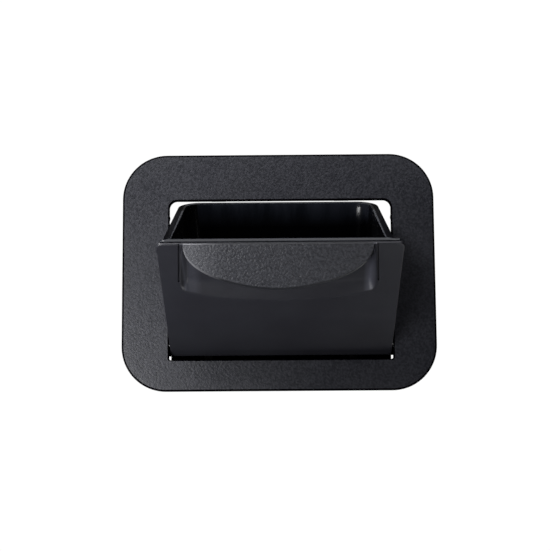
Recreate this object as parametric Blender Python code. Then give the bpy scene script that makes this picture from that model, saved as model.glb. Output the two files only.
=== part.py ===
"""Recessed tilt-out waste bin: a fixed wall frame and a bin that tilts out through it.

Metres, +Z up, +X to the viewer's right, +Y into the wall. The wall plane is y = 0 and the
origin is the centre of the cut-out. The bin is built in its closed pose and then turned
about the hinge into its open pose, which is the rest pose.
"""
import math

import bmesh
import bpy
from mathutils import Matrix, Vector

# ---- driving dimensions ----------------------------------------------------------------
MM = 0.001
FACE_Y = -9.0 * MM              # front of the face plate
GAP = 0.3 * MM                  # clearance between neighbouring pieces

PLATE_X = 150.0 * MM            # half width of the face plate
PLATE_SHIFT = -1.85 * MM        # the opening sits a little right of the plate's centre
PLATE_BOTTOM = -106.85 * MM
PLATE_TOP = 121.15 * MM
PLATE_CORNER = 43.0 * MM
PLATE_THICK = 2.8 * MM
PLATE_ROUND = 2.0 * MM
SKIRT_THICK = 2.2 * MM

OPEN_X = 107.35 * MM            # half width of the opening
OPEN_Z = 76.95 * MM             # half height of the opening
OPEN_CORNER_TOP = 7.6 * MM
OPEN_CORNER_BOTTOM = 1.6 * MM
RETURN_THICK = 2.0 * MM
RETURN_BACK = -1.0 * MM

FLANGE_FRONT = -5.3 * MM
FLANGE_BACK = -2.3 * MM
CUTOUT_X = 120.0 * MM           # half width of the hole in the wall
CUTOUT_Z = 88.0 * MM
CUTOUT_CORNER = 10.0 * MM
COLLAR_BACK = 10.0 * MM
COLLAR_THICK = 2.0 * MM

PIVOT = Vector((0.0, -5.0 * MM, -63.55 * MM))
OPEN_DEG = 52.0
PIN_RADIUS = 1.5 * MM
BUSH_RADIUS = 2.3 * MM
BUSH_BORE = 1.8 * MM
CLIP_RADIUS = 2.45 * MM

PANEL_X = 106.0 * MM            # half width of the bin's front panel
PANEL_BOTTOM = -74.05 * MM
PANEL_TOP = 76.15 * MM
PANEL_THICK = 3.0 * MM
PANEL_CORNER_TOP = 5.2 * MM
PANEL_CORNER_BOTTOM = 2.6 * MM

POCKET_X = 84.4 * MM            # half width of the finger recess at the panel's top
POCKET_FLARE = 0.08             # how fast it widens further down, per side
BIN_SHIFT = -1.9 * MM           # recess, lip and tub sit a little left of the panel's centre
POCKET_DEPTH = 6.0 * MM
POCKET_BOTTOM = 70.7 * MM       # lowest edge of the recess, down from the panel's top

LIP_X = 81.2 * MM
LIP_DROP = 39.5 * MM
LIP_REACH = 16.0 * MM

RIM_X = 98.8 * MM
RIM_TOP = 76.5 * MM
RIM_FLAT = 6.9 * MM             # the rim is level this far back, then falls to the rear
RIM_REAR = 142.0 * MM           # rear edge of the tub's rim, back from the face
RIM_REAR_Z = -4.1 * MM
RIM_STRIP_X = 103.2 * MM        # half width of the rim's front strip, behind the panel
RIM_THICK = 2.0 * MM
TUB_WALL = 2.2 * MM
TUB_BOTTOM_FRONT = -66.0 * MM
TUB_BOTTOM_REAR = -60.0 * MM

MOUNT_SCREWS = [
    (-133.0 * MM, 62.0 * MM),
    (133.0 * MM, 62.0 * MM),
    (-133.0 * MM, -58.0 * MM),
    (133.0 * MM, -58.0 * MM),
    (0.0, 103.0 * MM),
    (0.0, -96.0 * MM),
]
PANEL_SCREWS = [
    (-87.9 * MM, 16.0 * MM),
    (84.1 * MM, 16.0 * MM),
    (-81.2 * MM, -48.0 * MM),
    (77.4 * MM, -48.0 * MM),
]
BUMPER_X = 70.0 * MM
BUMPER_Z = -73.5 * MM
RIB_FRONT = 6.0 * MM
RIB_BACK = 8.5 * MM
RIB_TOP = -70.0 * MM

ROUND_STEPS = 6


# ---- scene and material helpers --------------------------------------------------------
def clear_scene():
    for obj in list(bpy.data.objects):
        bpy.data.objects.remove(obj, do_unlink=True)
    for mesh in list(bpy.data.meshes):
        bpy.data.meshes.remove(mesh)


def make_material(name, colour, metallic, roughness):
    material = bpy.data.materials.new(name)
    material.use_nodes = True
    shader = material.node_tree.nodes["Principled BSDF"]
    shader.inputs["Base Color"].default_value = (colour[0], colour[1], colour[2], 1.0)
    shader.inputs["Metallic"].default_value = metallic
    shader.inputs["Roughness"].default_value = roughness
    material.diffuse_color = (colour[0], colour[1], colour[2], 1.0)
    return material


# ---- mesh helpers ----------------------------------------------------------------------
def rounded_rect(x0, x1, z0, z1, radii, steps=ROUND_STEPS):
    """Outline with radii for the lower left, lower right, upper right and upper left."""
    corners = [
        (x0 + radii[0], z0 + radii[0], radii[0], 180.0),
        (x1 - radii[1], z0 + radii[1], radii[1], 270.0),
        (x1 - radii[2], z1 - radii[2], radii[2], 0.0),
        (x0 + radii[3], z1 - radii[3], radii[3], 90.0),
    ]
    points = []
    for cx, cz, radius, start in corners:
        for k in range(steps + 1):
            angle = math.radians(start + 90.0 * k / steps)
            points.append((cx + radius * math.cos(angle), cz + radius * math.sin(angle)))
    return points


def skin_loops(loops, ring):
    """Skin matching loops; ring joins the last to the first, otherwise both ends are capped."""
    mesh = bmesh.new()
    rows = []
    for loop in loops:
        rows.append([mesh.verts.new(point) for point in loop])
    count = len(rows[0])
    pairs = list(zip(rows[:-1], rows[1:]))
    if ring:
        pairs.append((rows[-1], rows[0]))
    for first, second in pairs:
        for k in range(count):
            n = (k + 1) % count
            mesh.faces.new((first[k], first[n], second[n], second[k]))
    if not ring:
        mesh.faces.new(list(reversed(rows[0])))
        mesh.faces.new(rows[-1])
    bmesh.ops.recalc_face_normals(mesh, faces=mesh.faces)
    return mesh


def fix_outward(mesh):
    bmesh.ops.recalc_face_normals(mesh, faces=mesh.faces)
    if mesh.calc_volume(signed=True) < 0.0:
        bmesh.ops.reverse_faces(mesh, faces=mesh.faces)


def add_object(name, mesh, material, smooth=False):
    fix_outward(mesh)
    data = bpy.data.meshes.new(name)
    mesh.to_mesh(data)
    mesh.free()
    if smooth:
        for polygon in data.polygons:
            polygon.use_smooth = True
    obj = bpy.data.objects.new(name, data)
    bpy.context.scene.collection.objects.link(obj)
    if material is not None:
        data.materials.append(material)
    return obj


def box_mesh(low, high):
    mesh = bmesh.new()
    bmesh.ops.create_cube(mesh, size=1.0)
    centre = [(a + b) / 2.0 for a, b in zip(low, high)]
    size = [abs(b - a) for a, b in zip(low, high)]
    bmesh.ops.scale(mesh, vec=size, verts=mesh.verts)
    bmesh.ops.translate(mesh, vec=centre, verts=mesh.verts)
    return mesh


def turned_mesh(profile, axis, centre, steps=20):
    """Solid of revolution; profile lists (distance along the axis, radius), ends capped."""
    mesh = bmesh.new()
    rows = []
    for along, radius in profile:
        row = []
        for k in range(steps):
            angle = 2.0 * math.pi * k / steps
            u = radius * math.cos(angle)
            v = radius * math.sin(angle)
            if axis == "X":
                point = (centre[0] + along, centre[1] + u, centre[2] + v)
            else:
                point = (centre[0] + u, centre[1] + along, centre[2] + v)
            row.append(mesh.verts.new(point))
        rows.append(row)
    for first, second in zip(rows[:-1], rows[1:]):
        for k in range(steps):
            n = (k + 1) % steps
            mesh.faces.new((first[k], first[n], second[n], second[k]))
    mesh.faces.new(rows[0])
    mesh.faces.new(rows[-1])
    fix_outward(mesh)
    return mesh


def tube_mesh(axis, centre, start, end, outer, inner, steps=20):
    """Tube between start and end along the axis."""
    profile = [(start, outer), (end, outer), (end, inner), (start, inner)]
    mesh = bmesh.new()
    rows = []
    for along, radius in profile:
        row = []
        for k in range(steps):
            angle = 2.0 * math.pi * k / steps
            u = radius * math.cos(angle)
            v = radius * math.sin(angle)
            if axis == "X":
                point = (centre[0] + along, centre[1] + u, centre[2] + v)
            else:
                point = (centre[0] + u, centre[1] + along, centre[2] + v)
            row.append(mesh.verts.new(point))
        rows.append(row)
    for index in range(4):
        first = rows[index]
        second = rows[(index + 1) % 4]
        for k in range(steps):
            n = (k + 1) % steps
            mesh.faces.new((first[k], first[n], second[n], second[k]))
    fix_outward(mesh)
    return mesh


def prism_yz(profile, x0, x1):
    """Closed outline in (y, z) extruded from x0 to x1."""
    mesh = bmesh.new()
    first = [mesh.verts.new((x0, y, z)) for y, z in profile]
    second = [mesh.verts.new((x1, y, z)) for y, z in profile]
    count = len(profile)
    for k in range(count):
        n = (k + 1) % count
        mesh.faces.new((first[k], first[n], second[n], second[k]))
    mesh.faces.new(first)
    mesh.faces.new(second)
    fix_outward(mesh)
    return mesh


def prism_xz(profile, y0, y1):
    """Closed outline in (x, z) extruded from y0 to y1."""
    mesh = bmesh.new()
    first = [mesh.verts.new((x, y0, z)) for x, z in profile]
    second = [mesh.verts.new((x, y1, z)) for x, z in profile]
    count = len(profile)
    for k in range(count):
        n = (k + 1) % count
        mesh.faces.new((first[k], first[n], second[n], second[k]))
    mesh.faces.new(first)
    mesh.faces.new(second)
    fix_outward(mesh)
    return mesh


def combine(obj, tools, operation):
    """Apply one exact boolean per tool mesh and drop the tools."""
    for index, tool in enumerate(tools):
        cutter = add_object(f"tool_{index}", tool, None)
        cutter.hide_render = True
        cutter.display_type = "WIRE"
        modifier = obj.modifiers.new(f"step_{index}", "BOOLEAN")
        modifier.operation = operation
        modifier.solver = "EXACT"
        modifier.object = cutter
        bpy.context.view_layer.update()
        depsgraph = bpy.context.evaluated_depsgraph_get()
        result = bpy.data.meshes.new_from_object(obj.evaluated_get(depsgraph))
        obj.modifiers.clear()
        old = obj.data
        obj.data = result
        result.name = obj.name
        bpy.data.meshes.remove(old)
        bpy.data.objects.remove(cutter, do_unlink=True)


def open_bin_pose(obj):
    """Turn a piece from the closed pose to the open one and put its origin on the hinge."""
    turn = Matrix.Rotation(math.radians(OPEN_DEG), 4, "X")
    for vertex in obj.data.vertices:
        vertex.co = turn @ (vertex.co - PIVOT)
    obj.data.update()
    obj.location = PIVOT


# ---- fixed pieces ----------------------------------------------------------------------
def plate_outline(inset, y):
    points = rounded_rect(
        PLATE_SHIFT - PLATE_X + inset,
        PLATE_SHIFT + PLATE_X - inset,
        PLATE_BOTTOM + inset,
        PLATE_TOP - inset,
        [PLATE_CORNER - inset] * 4,
    )
    return [(x, y, z) for x, z in points]


def opening_outline(outset, y):
    low = OPEN_CORNER_BOTTOM + outset
    high = OPEN_CORNER_TOP + outset
    points = rounded_rect(
        -OPEN_X - outset,
        OPEN_X + outset,
        -OPEN_Z - outset,
        OPEN_Z + outset,
        [low, low, high, high],
    )
    return [(x, y, z) for x, z in points]


def cutout_outline(inset, y):
    points = rounded_rect(
        -CUTOUT_X + inset,
        CUTOUT_X - inset,
        -CUTOUT_Z + inset,
        CUTOUT_Z - inset,
        [CUTOUT_CORNER - inset] * 4,
    )
    return [(x, y, z) for x, z in points]


def build_trim_bezel(material):
    back = FACE_Y + PLATE_THICK
    loops = [plate_outline(0.0, -0.4 * MM)]
    for degrees in (0.0, 30.0, 60.0, 90.0):
        angle = math.radians(degrees)
        inset = PLATE_ROUND * (1.0 - math.cos(angle))
        loops.append(plate_outline(inset, FACE_Y + PLATE_ROUND * (1.0 - math.sin(angle))))
    loops.append(opening_outline(0.5 * MM, FACE_Y))
    loops.append(opening_outline(0.0, FACE_Y + 0.5 * MM))
    loops.append(opening_outline(0.0, RETURN_BACK))
    loops.append(opening_outline(RETURN_THICK, RETURN_BACK))
    loops.append(opening_outline(RETURN_THICK, back))
    loops.append(plate_outline(SKIRT_THICK, back))
    loops.append(plate_outline(SKIRT_THICK, -0.4 * MM))
    bezel = add_object("trim_bezel", skin_loops(loops, True), material)

    additions = []
    for side in (-1.0, 1.0):
        bump = [
            (side * (OPEN_X + 0.6 * MM), 56.6 * MM),
            (side * (OPEN_X - 0.9 * MM), 58.2 * MM),
            (side * (OPEN_X - 0.9 * MM), 61.2 * MM),
            (side * (OPEN_X + 0.6 * MM), 62.8 * MM),
        ]
        additions.append(prism_xz(bump, FACE_Y + 0.7 * MM, -5.0 * MM))
    for x in (-60.0 * MM, 60.0 * MM):
        for side in (-1.0, 1.0):
            additions.append(snap_hook_flat(x, side))
    for side in (-1.0, 1.0):
        additions.append(snap_hook_side(side, 20.0 * MM))
    combine(bezel, additions, "UNION")

    reliefs = []
    for side in (-1.0, 1.0):
        low = (side * 107.0 * MM, -7.6 * MM, PIVOT.z - 6.0 * MM)
        high = (side * 117.6 * MM, -0.5 * MM, PIVOT.z + 6.0 * MM)
        reliefs.append(box_mesh(low, high))
    combine(bezel, reliefs, "DIFFERENCE")
    return bezel


def snap_hook_flat(x, side):
    """Hook on the upper or lower return that latches behind the frame's flange."""
    inner = side * (OPEN_Z + 0.4 * MM)
    outer = side * (OPEN_Z + RETURN_THICK - 0.1 * MM)
    tip = side * (OPEN_Z + RETURN_THICK + 1.4 * MM)
    profile = [
        (-3.0 * MM, inner),
        (1.8 * MM, inner),
        (1.8 * MM, outer),
        (-1.6 * MM, tip),
        (-1.95 * MM, tip),
        (-1.95 * MM, outer),
        (-3.0 * MM, outer),
    ]
    return prism_yz(profile, x - 7.0 * MM, x + 7.0 * MM)


def snap_hook_side(side, z):
    inner = side * (OPEN_X + 0.4 * MM)
    outer = side * (OPEN_X + RETURN_THICK - 0.1 * MM)
    tip = side * (OPEN_X + RETURN_THICK + 1.4 * MM)
    profile = [
        (inner, -3.0 * MM),
        (inner, 1.8 * MM),
        (outer, 1.8 * MM),
        (tip, -1.6 * MM),
        (tip, -1.95 * MM),
        (outer, -1.95 * MM),
        (outer, -3.0 * MM),
    ]
    mesh = bmesh.new()
    first = [mesh.verts.new((x, y, z - 7.0 * MM)) for x, y in profile]
    second = [mesh.verts.new((x, y, z + 7.0 * MM)) for x, y in profile]
    count = len(profile)
    for k in range(count):
        n = (k + 1) % count
        mesh.faces.new((first[k], first[n], second[n], second[k]))
    mesh.faces.new(first)
    mesh.faces.new(second)
    fix_outward(mesh)
    return mesh


def build_mounting_frame(material):
    edge = RETURN_THICK + GAP
    loops = [
        plate_outline(2.6 * MM, FLANGE_FRONT),
        plate_outline(2.6 * MM, FLANGE_BACK),
        cutout_outline(0.6 * MM, FLANGE_BACK),
        cutout_outline(0.6 * MM, COLLAR_BACK),
        cutout_outline(0.6 * MM + COLLAR_THICK, COLLAR_BACK),
        cutout_outline(0.6 * MM + COLLAR_THICK, FLANGE_BACK),
        opening_outline(edge, FLANGE_BACK),
        opening_outline(edge, FLANGE_FRONT),
    ]
    frame = add_object("mounting_frame", skin_loops(loops, True), material)

    additions = []
    for side in (-1.0, 1.0):
        low = (side * (OPEN_X + edge), -7.3 * MM, PIVOT.z - 5.5 * MM)
        high = (side * 117.0 * MM, 1.0 * MM, PIVOT.z + 5.5 * MM)
        additions.append(box_mesh(low, high))
    rib_base = -CUTOUT_Z + 0.6 * MM + COLLAR_THICK / 2.0
    additions.append(box_mesh((-118.4 * MM, RIB_FRONT, rib_base), (118.4 * MM, RIB_BACK, RIB_TOP)))
    combine(frame, additions, "UNION")
    cheeks = []
    for side in (-1.0, 1.0):
        low = (side * 100.4 * MM, RIB_FRONT, RIB_TOP - 6.0 * MM)
        high = (side * 118.4 * MM, RIB_BACK, -48.0 * MM)
        cheeks.append(box_mesh(low, high))
    combine(frame, cheeks, "UNION")

    cuts = []
    for side in (-1.0, 1.0):
        bore = (0.0, PIVOT.y, PIVOT.z)
        start = side * 109.0 * MM
        end = side * 115.3 * MM
        cuts.append(turned_mesh([(start, 2.6 * MM), (end, 2.6 * MM)], "X", bore, 24))
        low = (start, -8.5 * MM, PIVOT.z - 2.6 * MM)
        high = (end, PIVOT.y, PIVOT.z + 2.6 * MM)
        cuts.append(box_mesh(low, high))
        hole = (side * BUMPER_X, 0.0, BUMPER_Z)
        cuts.append(turned_mesh([(4.0 * MM, 1.8 * MM), (11.0 * MM, 1.8 * MM)], "Y", hole, 16))
        low = (side * 106.3 * MM, 5.0 * MM, -78.0 * MM)
        high = (side * 109.0 * MM, 9.5 * MM, -73.2 * MM)
        cuts.append(box_mesh(low, high))
    for x, z in MOUNT_SCREWS:
        profile = [
            (FLANGE_FRONT - 0.5 * MM, 4.35 * MM),
            (-3.3 * MM, 2.1 * MM),
            (-1.0 * MM, 2.1 * MM),
        ]
        cuts.append(turned_mesh(profile, "Y", (x, 0.0, z), 20))
    combine(frame, cuts, "DIFFERENCE")
    return frame


def build_wall_gasket(material):
    loops = [
        plate_outline(5.0 * MM, -2.0 * MM),
        plate_outline(5.0 * MM, 0.0),
        cutout_outline(-0.4 * MM, 0.0),
        cutout_outline(-0.4 * MM, -2.0 * MM),
    ]
    gasket = add_object("wall_gasket", skin_loops(loops, True), material)
    holes = []
    for x, z in MOUNT_SCREWS:
        profile = [(-3.0 * MM, 2.2 * MM), (1.0 * MM, 2.2 * MM)]
        holes.append(turned_mesh(profile, "Y", (x, 0.0, z), 12))
    combine(gasket, holes, "DIFFERENCE")
    return gasket


def cross_recess(x, z, face, depth, reach):
    half = 0.45 * MM
    low = face - 1.0 * MM if depth > 0.0 else face + 1.0 * MM
    return [
        box_mesh((x - reach, low, z - half), (x + reach, face + depth, z + half)),
        box_mesh((x - half, low, z - reach), (x + half, face + depth, z + reach)),
    ]


def build_mount_screws(material):
    screws = []
    for index, (x, z) in enumerate(MOUNT_SCREWS):
        profile = [
            (-5.15 * MM, 3.35 * MM),
            (-4.95 * MM, 3.35 * MM),
            (-3.2 * MM, 1.75 * MM),
            (13.0 * MM, 1.75 * MM),
            (16.0 * MM, 0.3 * MM),
        ]
        mesh = turned_mesh(profile, "Y", (x, 0.0, z), 16)
        screw = add_object(f"mount_screw_{index + 1}", mesh, material)
        combine(screw, cross_recess(x, z, -5.15 * MM, 1.2 * MM, 1.7 * MM), "DIFFERENCE")
        screws.append(screw)
    return screws


def build_hinge_bushes(material):
    bushes = []
    for name, side in (("hinge_bush_left", -1.0), ("hinge_bush_right", 1.0)):
        centre = (side * 112.5 * MM, PIVOT.y, PIVOT.z)
        mesh = tube_mesh("X", centre, -2.5 * MM, 2.5 * MM, BUSH_RADIUS, BUSH_BORE, 24)
        bushes.append(add_object(name, mesh, material))
    return bushes


def build_stop_bumpers(material):
    bumpers = []
    for name, side in (("stop_bumper_left", -1.0), ("stop_bumper_right", 1.0)):
        profile = [
            (3.0 * MM, 3.7 * MM),
            (3.6 * MM, 4.4 * MM),
            (5.7 * MM, 4.4 * MM),
            (5.7 * MM, 1.5 * MM),
            (9.4 * MM, 1.5 * MM),
            (10.0 * MM, 1.0 * MM),
        ]
        mesh = turned_mesh(profile, "Y", (side * BUMPER_X, 0.0, BUMPER_Z), 16)
        bumpers.append(add_object(name, mesh, material))
    return bumpers


# ---- moving pieces, in the closed pose -------------------------------------------------
def ease(value):
    value = min(1.0, max(0.0, value))
    return value * value * (3.0 - 2.0 * value)


def place_column(x, down):
    """Where a column of the panel lies at this depth, with the recess shifted and flared."""
    half = POCKET_X + POCKET_FLARE * min(down, 58.0 * MM)
    if abs(x) <= POCKET_X:
        return BIN_SHIFT + x * half / POCKET_X
    edge = BIN_SHIFT + math.copysign(half, x)
    share = (abs(x) - POCKET_X) / (PANEL_X - POCKET_X)
    return edge + (math.copysign(PANEL_X, x) - edge) * share


def pocket_edge(x):
    """How far below the panel's top the finger recess ends at this x."""
    across = min(abs(x), POCKET_X)
    drop = POCKET_BOTTOM - 13.0 * MM * (across / (82.0 * MM)) ** 2.2
    corner = 8.0 * MM
    into = across - (POCKET_X - corner)
    if into > 0.0:
        drop -= corner - math.sqrt(max(corner * corner - into * into, 0.0))
    return drop


def pocket_ramp(x):
    """Length of the slope that brings the recess back to the panel's face."""
    across = min(abs(x) / POCKET_X, 1.0)
    return 22.0 * MM - 12.0 * MM * across ** 2


def recess(x, down, grow):
    """Depth of the finger recess; grow widens it for the back of the skin."""
    side = (POCKET_X + grow - abs(x)) / (1.2 * MM)
    if side <= 0.0:
        return 0.0
    across = min(side, 1.0)
    edge = pocket_edge(x) + grow
    ramp = pocket_ramp(x)
    along = ease((edge - down) / ramp)
    entry = 1.6 * MM + (POCKET_DEPTH - 1.6 * MM) * ease((down - 5.0 * MM) / (9.0 * MM))
    return across * along * entry


def panel_columns():
    side = [106.0, 105.5, 104.2, 102.3, 98.0, 91.0, 86.6, 85.4, 84.4, 83.2, 81.0, 77.0, 72.0, 64.0]
    side += [54.0, 42.0, 28.0, 14.0]
    columns = [-value * MM for value in side]
    columns.append(0.0)
    columns += [value * MM for value in reversed(side)]
    return columns


def panel_rows(x):
    """Distances below the panel's top at this x, following the recess's lower edge."""
    middle = min(1.0, max(0.0, (POCKET_X - abs(x)) / (1.2 * MM)))
    top = 0.7 * MM * middle
    edge = pocket_edge(x)
    ramp = pocket_ramp(x)
    height = PANEL_TOP - PANEL_BOTTOM
    rows = [top, top + 0.8 * MM, 2.4 * MM + top / 2.0, 4.0 * MM, 6.0 * MM, 8.5 * MM, 11.0 * MM]
    rows += [14.0 * MM, 22.0 * MM]
    for share in (0.0, 0.14, 0.28, 0.42, 0.56, 0.7, 0.84, 1.0):
        rows.append(edge - ramp * (1.0 - share))
    rows.append(edge + 2.5 * MM)
    rows += [84.0 * MM, 118.0 * MM, height - 2.0 * MM, height - 0.6 * MM, height]
    return rows


def round_corner(x, down):
    """Pull points outside the panel's rounded corners onto the arc."""
    height = PANEL_TOP - PANEL_BOTTOM
    corners = (
        (PANEL_CORNER_TOP, PANEL_CORNER_TOP, -1.0),
        (PANEL_CORNER_BOTTOM, height - PANEL_CORNER_BOTTOM, 1.0),
    )
    for radius, centre, outward in corners:
        inside_x = PANEL_X - radius
        dx = abs(x) - inside_x
        dz = (down - centre) * outward
        if dx > 0.0 and dz > 0.0:
            length = math.hypot(dx, dz)
            if length > radius:
                scale = radius / length
                new_x = math.copysign(inside_x + dx * scale, x)
                return new_x, centre + outward * dz * scale
    return x, down


def build_front_panel(material):
    columns = panel_columns()
    height = PANEL_TOP - PANEL_BOTTOM
    mesh = bmesh.new()
    front = []
    back = []
    for x in columns:
        front_line = []
        back_line = []
        rows = panel_rows(x)
        for index, down in enumerate(rows):
            depth = recess(x, down, 0.0)
            edge_round = 0.0
            if index == 0:
                edge_round = 0.7 * MM * (1.0 - min(1.0, depth / (1.0 * MM)))
            if index == len(rows) - 1 or abs(x) > PANEL_X - 0.01 * MM:
                edge_round = 0.5 * MM
            px, pd = round_corner(place_column(x, down), down)
            front_y = FACE_Y + depth + edge_round
            grown = recess(x, down, 2.0 * MM)
            skin = PANEL_THICK + max(0.0, grown - 1.6 * MM) * 5.0 / 4.4
            back_y = FACE_Y + skin
            front_line.append(mesh.verts.new((px, front_y, PANEL_TOP - pd)))
            back_line.append(mesh.verts.new((px, back_y, PANEL_TOP - pd)))
        front.append(front_line)
        back.append(back_line)
    nx = len(columns)
    nz = len(front[0])
    for i in range(nx - 1):
        for j in range(nz - 1):
            mesh.faces.new((front[i][j], front[i + 1][j], front[i + 1][j + 1], front[i][j + 1]))
            mesh.faces.new((back[i][j], back[i][j + 1], back[i + 1][j + 1], back[i + 1][j]))
    for i in range(nx - 1):
        for j in (0, nz - 1):
            mesh.faces.new((front[i][j], back[i][j], back[i + 1][j], front[i + 1][j]))
    for j in range(nz - 1):
        for i in (0, nx - 1):
            mesh.faces.new((front[i][j], front[i][j + 1], back[i][j + 1], back[i][j]))
    bmesh.ops.triangulate(mesh, faces=mesh.faces)
    panel = add_object("front_panel", mesh, material)

    additions = []
    for side in (-1.0, 1.0):
        nub = [
            (side * (PANEL_X - 0.6 * MM), 63.4 * MM),
            (side * (PANEL_X + 0.5 * MM), 64.9 * MM),
            (side * (PANEL_X + 0.5 * MM), 68.1 * MM),
            (side * (PANEL_X - 0.6 * MM), 69.6 * MM),
        ]
        additions.append(prism_xz(nub, FACE_Y + 0.8 * MM, FACE_Y + 2.6 * MM))
        additions.append(hinge_ear(side))
    for x, z in PANEL_SCREWS:
        profile = [(FACE_Y + 2.4 * MM, 3.2 * MM), (FACE_Y + 10.2 * MM, 3.2 * MM)]
        additions.append(turned_mesh(profile, "Y", (x, 0.0, z), 20))
    combine(panel, additions, "UNION")

    cuts = []
    for side in (-1.0, 1.0):
        bore = (0.0, PIVOT.y, PIVOT.z)
        profile = [(side * 98.0 * MM, BUSH_BORE), (side * 107.0 * MM, BUSH_BORE)]
        cuts.append(turned_mesh(profile, "X", bore, 20))
        profile = [(side * 97.4 * MM, CLIP_RADIUS + GAP), (side * 101.4 * MM, CLIP_RADIUS + GAP)]
        cuts.append(turned_mesh(profile, "X", bore, 20))
    for x, z in PANEL_SCREWS:
        profile = [(FACE_Y + 4.2 * MM, 1.7 * MM), (FACE_Y + 11.0 * MM, 1.7 * MM)]
        cuts.append(turned_mesh(profile, "Y", (x, 0.0, z), 14))
    cuts.append(box_mesh((-102.7 * MM, FACE_Y + 1.15 * MM, 75.45 * MM),
                         (102.7 * MM, FACE_Y + 3.6 * MM, 77.0 * MM)))
    combine(panel, cuts, "DIFFERENCE")
    return panel


def hinge_ear(side):
    """Lobe behind the panel's lower corner that carries the hinge pin."""
    profile = [(FACE_Y + 2.5 * MM, PIVOT.z - 7.5 * MM)]
    for degrees in (-70.0, -45.0, -22.0, 0.0, 22.0, 45.0, 70.0):
        angle = math.radians(degrees)
        y = PIVOT.y + 1.0 * MM + 4.6 * MM * math.cos(angle)
        profile.append((y, PIVOT.z + 5.6 * MM * math.sin(angle)))
    profile.append((FACE_Y + 2.5 * MM, PIVOT.z + 7.5 * MM))
    return prism_yz(profile, side * 101.2 * MM, side * 104.2 * MM)


def lip_share(x):
    """Fraction of the lip's full drop reached at this x."""
    return (1.0 - abs(x / LIP_X) ** 1.7) ** 0.43


def build_grip_lip(material):
    mesh = bmesh.new()
    steps = 26
    shares = [0.0, 0.08, 0.2, 0.4, 0.6, 0.8, 1.0]
    outer = []
    inner = []
    for k in range(steps + 1):
        angle = math.radians(-86.5 + 173.0 * k / steps)
        x = LIP_X * math.sin(angle)
        share = lip_share(x)
        outer_line = []
        inner_line = []
        for t in shares:
            down = 0.3 * MM + LIP_DROP * share * t
            out = LIP_REACH * share * t ** 0.92
            thick = 1.2 * MM + 1.0 * MM * ease(down / (7.0 * MM))
            px = x + BIN_SHIFT
            outer_line.append(mesh.verts.new((px, FACE_Y - out, PANEL_TOP - down)))
            inner_line.append(mesh.verts.new((px, FACE_Y - out + thick, PANEL_TOP - down)))
        outer.append(outer_line)
        inner.append(inner_line)
    nx = len(outer)
    nz = len(shares)
    for i in range(nx - 1):
        for j in range(nz - 1):
            mesh.faces.new((outer[i][j], outer[i + 1][j], outer[i + 1][j + 1], outer[i][j + 1]))
            mesh.faces.new((inner[i][j], inner[i][j + 1], inner[i + 1][j + 1], inner[i + 1][j]))
    for i in range(nx - 1):
        for j in (0, nz - 1):
            mesh.faces.new((outer[i][j], inner[i][j], inner[i + 1][j], outer[i + 1][j]))
    for j in range(nz - 1):
        for i in (0, nx - 1):
            mesh.faces.new((outer[i][j], outer[i][j + 1], inner[i][j + 1], inner[i][j]))
    bmesh.ops.triangulate(mesh, faces=mesh.faces)
    return add_object("grip_lip", mesh, material)


def tub_loop(half, y0, y1, radii, front_z, rear_z, at_rim=False):
    """Outline of the tub in plan; height runs evenly from the front value to the rear value."""
    points = rounded_rect(-half, half, y0, y1, [radii[0], radii[0], radii[1], radii[1]])
    near = RIM_FLAT if at_rim else y0
    far = RIM_REAR if at_rim else y1
    loop = []
    for x, y in points:
        share = max(0.0, (y - near) / (far - near))
        loop.append((x + BIN_SHIFT, FACE_Y + y, front_z + (rear_z - front_z) * share))
    return loop


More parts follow.
